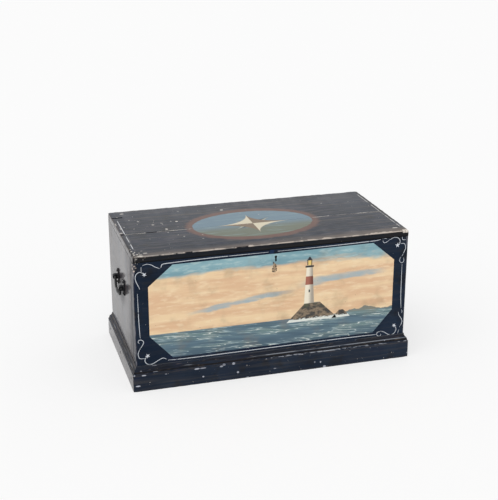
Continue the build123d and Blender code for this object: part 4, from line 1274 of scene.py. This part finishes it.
def islet_paint():
    """Rock with moss and foam, and over it the stone tower with its band, window and lamp room."""
    finish = Finish("islet_paint")
    x, _, z = finish.place
    x = (x - ISLET_FOOT[0]) / ISLET_SCALE + ISLET_FOOT[0]
    z = (z - ISLET_FOOT[1]) / ISLET_SCALE + ISLET_FOOT[1]
    daub = finish.noise((0.004, 0.004, 0.0025), 4, 71.0)
    face = finish.noise((0.011, 0.011, 0.008), 2, 73.0)
    rock = finish.mix(face.step(0.4, 0.6), "4d4a45", "8a7a66")
    rock = rock.coated("2f3236", daub.step(0.45, 0.7) * 0.7)
    moss = z.step(100 * MM, 108 * MM) * face.step(0.5, 0.35)
    rock = rock.coated("6d7553", moss * 0.6)
    foam = (z + (daub - 0.5) * (7 * MM)).step(88.5 * MM, 86.5 * MM)
    rock = rock.coated(CREST, foam)
    shade = (x + (daub - 0.5) * (2 * MM)).step(56 * MM, 62 * MM)
    stone = finish.mix(shade, "efe6d2", "a89f92")
    band = z.within(132 * MM, 143 * MM, 0.4 * MM)
    stone = stone.coated(finish.mix(shade, "9c4b38", "6b3328"), band * 0.9)
    window = x.within(57.2 * MM, 58.9 * MM, 0.2 * MM) * z.within(122 * MM, 125.5 * MM, 0.3 * MM)
    stone = stone.coated("2b2f36", window)
    lamp_room = z.within(157.5 * MM, 163.6 * MM, 0.2 * MM)
    lamp = finish.mix(x.within(56 * MM, 60 * MM, 0.4 * MM), "2b2f36", "e9c777")
    stone = stone.coated(lamp, lamp_room)
    stone = stone.coated("33373d", z.step(163.4 * MM, 163.8 * MM))
    stone = stone.coated("3b3a3a", z.within(154.6 * MM, 157.2 * MM, 0.2 * MM))
    finish.colour = rock.coated(stone, z.step(107.2 * MM, 107.6 * MM))
    return finish.settle(0.5, daub, 0.1 * MM, IOR=1.3)


islet_finish = islet_paint()
print("islet paint:", len(islet_finish.node_tree.nodes), "nodes")

# %% [markdown]
# The pieces of the islet are given in millimetres, then joined and resized once about its foot.

# %% Lighthouse
LAYER_THICK = 0.06 * MM


def thin_plate(name, x0, x1, z0, z1, top_share=1.0, layer=1):
    """A thin plate of paint on the picture, drawn in at its upper edge."""
    front = CASE_FRONT - PAINT_THICK - layer * LAYER_THICK
    piece = plate(name, (x0 * MM, front, z0 * MM), (x1 * MM, CASE_FRONT, z1 * MM))
    middle = (z0 + z1) / 2 * MM
    centre = ((x0 + x1) / 2 * MM, 0, 0)
    resize(piece, (top_share, 1, 1), centre, lambda vertex: vertex.co.z > middle)
    return piece


def rock(name, x0, x1, z0, z1, cuts, layer):
    """A plate whose outline is sawn along lines from one point to another."""
    piece = thin_plate(name, x0, x1, z0, z1, layer=layer)
    for (ax, az), (bx, bz) in cuts:
        saw(piece, (ax * MM, CASE_FRONT, az * MM), (az - bz, 0, bx - ax))
    return piece


GREAT_ROCK_CUTS = (
    ((26, 84), (34, 95)),
    ((34, 95), (44, 99)),
    ((44, 99), (50, 108)),
    ((72, 108), (82, 99)),
    ((82, 99), (94, 84)),
)
SMALL_ROCK_CUTS = (((88, 84), (96, 92)), ((96, 92), (104, 93)), ((104, 93), (112, 84)))
islet = [
    thin_plate("tower", 51.5, 64.5, 107, 155, 0.6, 2),
    thin_plate("gallery", 52.6, 63.4, 154.8, 157, 1.0, 3),
    thin_plate("lantern", 55, 61, 156.8, 163.6, 1.0, 2),
    thin_plate("roof", 54.2, 61.8, 163.4, 168.4, 0.12, 3),
    rock("great_rock", 26, 94, 84, 108, GREAT_ROCK_CUTS, 1),
    rock("small_rock", 88, 112, 84, 94, SMALL_ROCK_CUTS, 1),
]
lighthouse = joined(islet, "lighthouse")
resize(lighthouse, (ISLET_SCALE, 1, ISLET_SCALE), (ISLET_FOOT[0], 0, ISLET_FOOT[1]))
belongs(lighthouse, "case", "painted_plate", islet_finish)

# %% [markdown]
# ## Line work
# A frame of fine lines runs round the picture and breaks into scrolls and a small star at each
# corner. Each stroke is a smooth curve through a few points on the front, round like a bead of
# paint, thinner at its tips. It is turned into a mesh and pressed flat on the board.

# %% Brush strokes
STROKE_THICK = 0.1 * MM
TIP_SHARE = 0.45
STROKES = {
    "top_line": (1.3, [(-182, 200.5), (-181, 203), (-180, 206), (-176, 206.6), (-130, 208),
        (-90, 208.5), (-11, 208.3)]),
    "top_line_right": (1.3, [(4, 208.3), (90, 208), (167, 209.3), (172, 209.6), (177, 210.6)]),
    "foot_line": (1.3, [(-175, 45.2), (-160, 44.2), (-90, 44.2), (0, 44.6), (90, 45), (165, 44.6),
        (176, 44.3)]),
    "left_line": (1.2, [(-219.2, 162), (-219, 130), (-218, 97), (-217.4, 88)]),
    "right_line": (1.2, [(216.6, 165), (216.8, 125), (217.4, 100), (218.8, 87)]),
    "top_left_wave": (1.0, [(-210, 206.9), (-206, 208.6), (-199.7, 208.2), (-195, 206), (-191, 202.7),
        (-187, 201), (-183.5, 199.3)]),
    "top_left_dash": (1.6, [(-212.2, 204.5), (-212.2, 197)]),
    "top_left_arc": (1.1, [(-207.5, 191.8), (-212, 197), (-217.8, 196.2), (-221.4, 192),
        (-221.9, 186.5), (-220.2, 180.5), (-217, 173.6), (-215.2, 169)]),
    "foot_left_loop": (1.1, [(-219.2, 79), (-221.2, 81.4), (-220.4, 84.4), (-217.3, 85.4),
        (-213.4, 83.6), (-212, 80), (-213.9, 76), (-217.8, 70.5)]),
    "foot_left_scroll": (1.1, [(-217.8, 70.5), (-220.9, 65.3), (-221.9, 60.5), (-220.3, 54),
        (-216.8, 52.7), (-211.2, 52.9)]),
    "foot_left_arc": (1.2, [(-206.6, 56.7), (-210.8, 53.4), (-211.6, 47.6), (-208.6, 42.9),
        (-202.8, 40.9), (-196.5, 43), (-190.2, 46.9), (-183.4, 50), (-179.7, 49.2), (-177.2, 47)]),
    "foot_right_arc": (1.1, [(207.6, 57), (211.3, 52.7), (211.8, 47.6), (207.9, 41.3), (201.2, 40),
        (195.6, 43.1), (189.9, 47.8), (184, 49.3)]),
    "foot_right_loop": (1.0, [(184, 49.3), (178.8, 48.5), (176.4, 44.8), (179.5, 40.8), (185, 40.9),
        (184.4, 44.6)]),
    "foot_right_scroll": (1.0, [(214.4, 80.4), (214.7, 75), (220, 68.3), (222, 62.8), (220.7, 57.3),
        (217.7, 52.8)]),
    "foot_right_tick": (1.0, [(219.6, 84), (222, 80.6), (220, 77.5)]),
    "foot_right_dash": (1.4, [(217, 48.4), (215, 41.9)]),
    "top_right_curl": (1.0, [(180.4, 211.4), (184.8, 211.9), (187.8, 210.9)]),
    "top_right_loop": (0.95, [(181, 208.4), (181.9, 205), (184.7, 203.9), (188.4, 205.5), (192, 208)]),
    "top_right_rise": (1.1, [(192, 208), (196, 210.2), (199.4, 211.8), (203, 212), (206.8, 210.9),
        (210, 208), (211.6, 204), (210.4, 200.8), (207, 197.9)]),
    "top_right_dash": (1.2, [(214.4, 211.6), (214.8, 207), (217.5, 205.8), (221, 206)]),
    "top_right_scroll": (1.1, [(211.9, 200.2), (216, 200.2), (219, 199.6), (220.4, 197), (221.9, 192.5),
        (220.6, 188.6), (218.4, 184), (215.8, 178.2)]),
    "top_right_coil": (0.85, [(213.9, 177.2), (211.2, 173.6), (212.4, 168.4), (216, 166.6),
        (219, 168.2), (219.9, 171.8), (218.2, 175.3)]),
}


def stroke(name, width, points):
    """One brush stroke on the front board, from points in millimetres along X and Z."""
    clear_selection()
    bpy.ops.curve.primitive_nurbs_path_add()
    path = bpy.context.object
    path.name = name
    path.data.splines.clear()
    run = path.data.splines.new("NURBS")
    run.points.add(len(points) - 1)
    last = len(points) - 1
    for i, (x, z) in enumerate(points):
        run.points[i].co = (x * MM, CASE_FRONT, z * MM, 1)
        run.points[i].radius = TIP_SHARE if i in (0, last) else 1.0
    run.order_u = min(3, len(points))
    run.use_endpoint_u = True
    run.resolution_u = 4
    path.data.bevel_depth = width / 2 * MM
    path.data.bevel_resolution = 1
    path.data.use_fill_caps = True
    bpy.ops.object.convert(target="MESH")
    bead = bpy.context.object
    resize(bead, (1, 2 * STROKE_THICK / (width * MM), 1), (0, CASE_FRONT, 0))
    return bead


strokes = [stroke(name, width, points) for name, (width, points) in STROKES.items()]
print(len(strokes), "brush strokes")

# %% [markdown]
# The stars have five points. Each starts as a thin disc of ten sides, turned to its own angle, and
# every second corner is drawn in towards the middle.

# %% Corner stars
STARS = ((-207.6, 192, 4.0, -27), (-206.6, 56.7, 4.3, -27), (207.6, 57, 4.0, 54), (207, 197.9, 4.5, 18))
STAR_WAIST = 0.36


def small_star(x, z, size, turn):
    """A painted star whose first point lies at the given turn from +X, in degrees."""
    clear_selection()
    at = (x * MM, CASE_FRONT, z * MM)
    turned = (math.pi / 2, math.radians(90 - turn), 0)
    bpy.ops.mesh.primitive_cylinder_add(
        vertices=10, radius=size * MM, depth=2 * STROKE_THICK, location=at, rotation=turned
    )
    bpy.ops.object.transform_apply(location=True, rotation=True, scale=True)
    piece = bpy.context.object
    resize(piece, (STAR_WAIST, 1, STAR_WAIST), at, lambda vertex: vertex.index // 2 % 2 == 1)
    return piece


strokes += [small_star(*place) for place in STARS]
line_work = joined(strokes, "line_work")
bpy.ops.object.transform_apply(location=True, rotation=True, scale=True)
belongs(line_work, "case", "painted_plate", stripe_white)
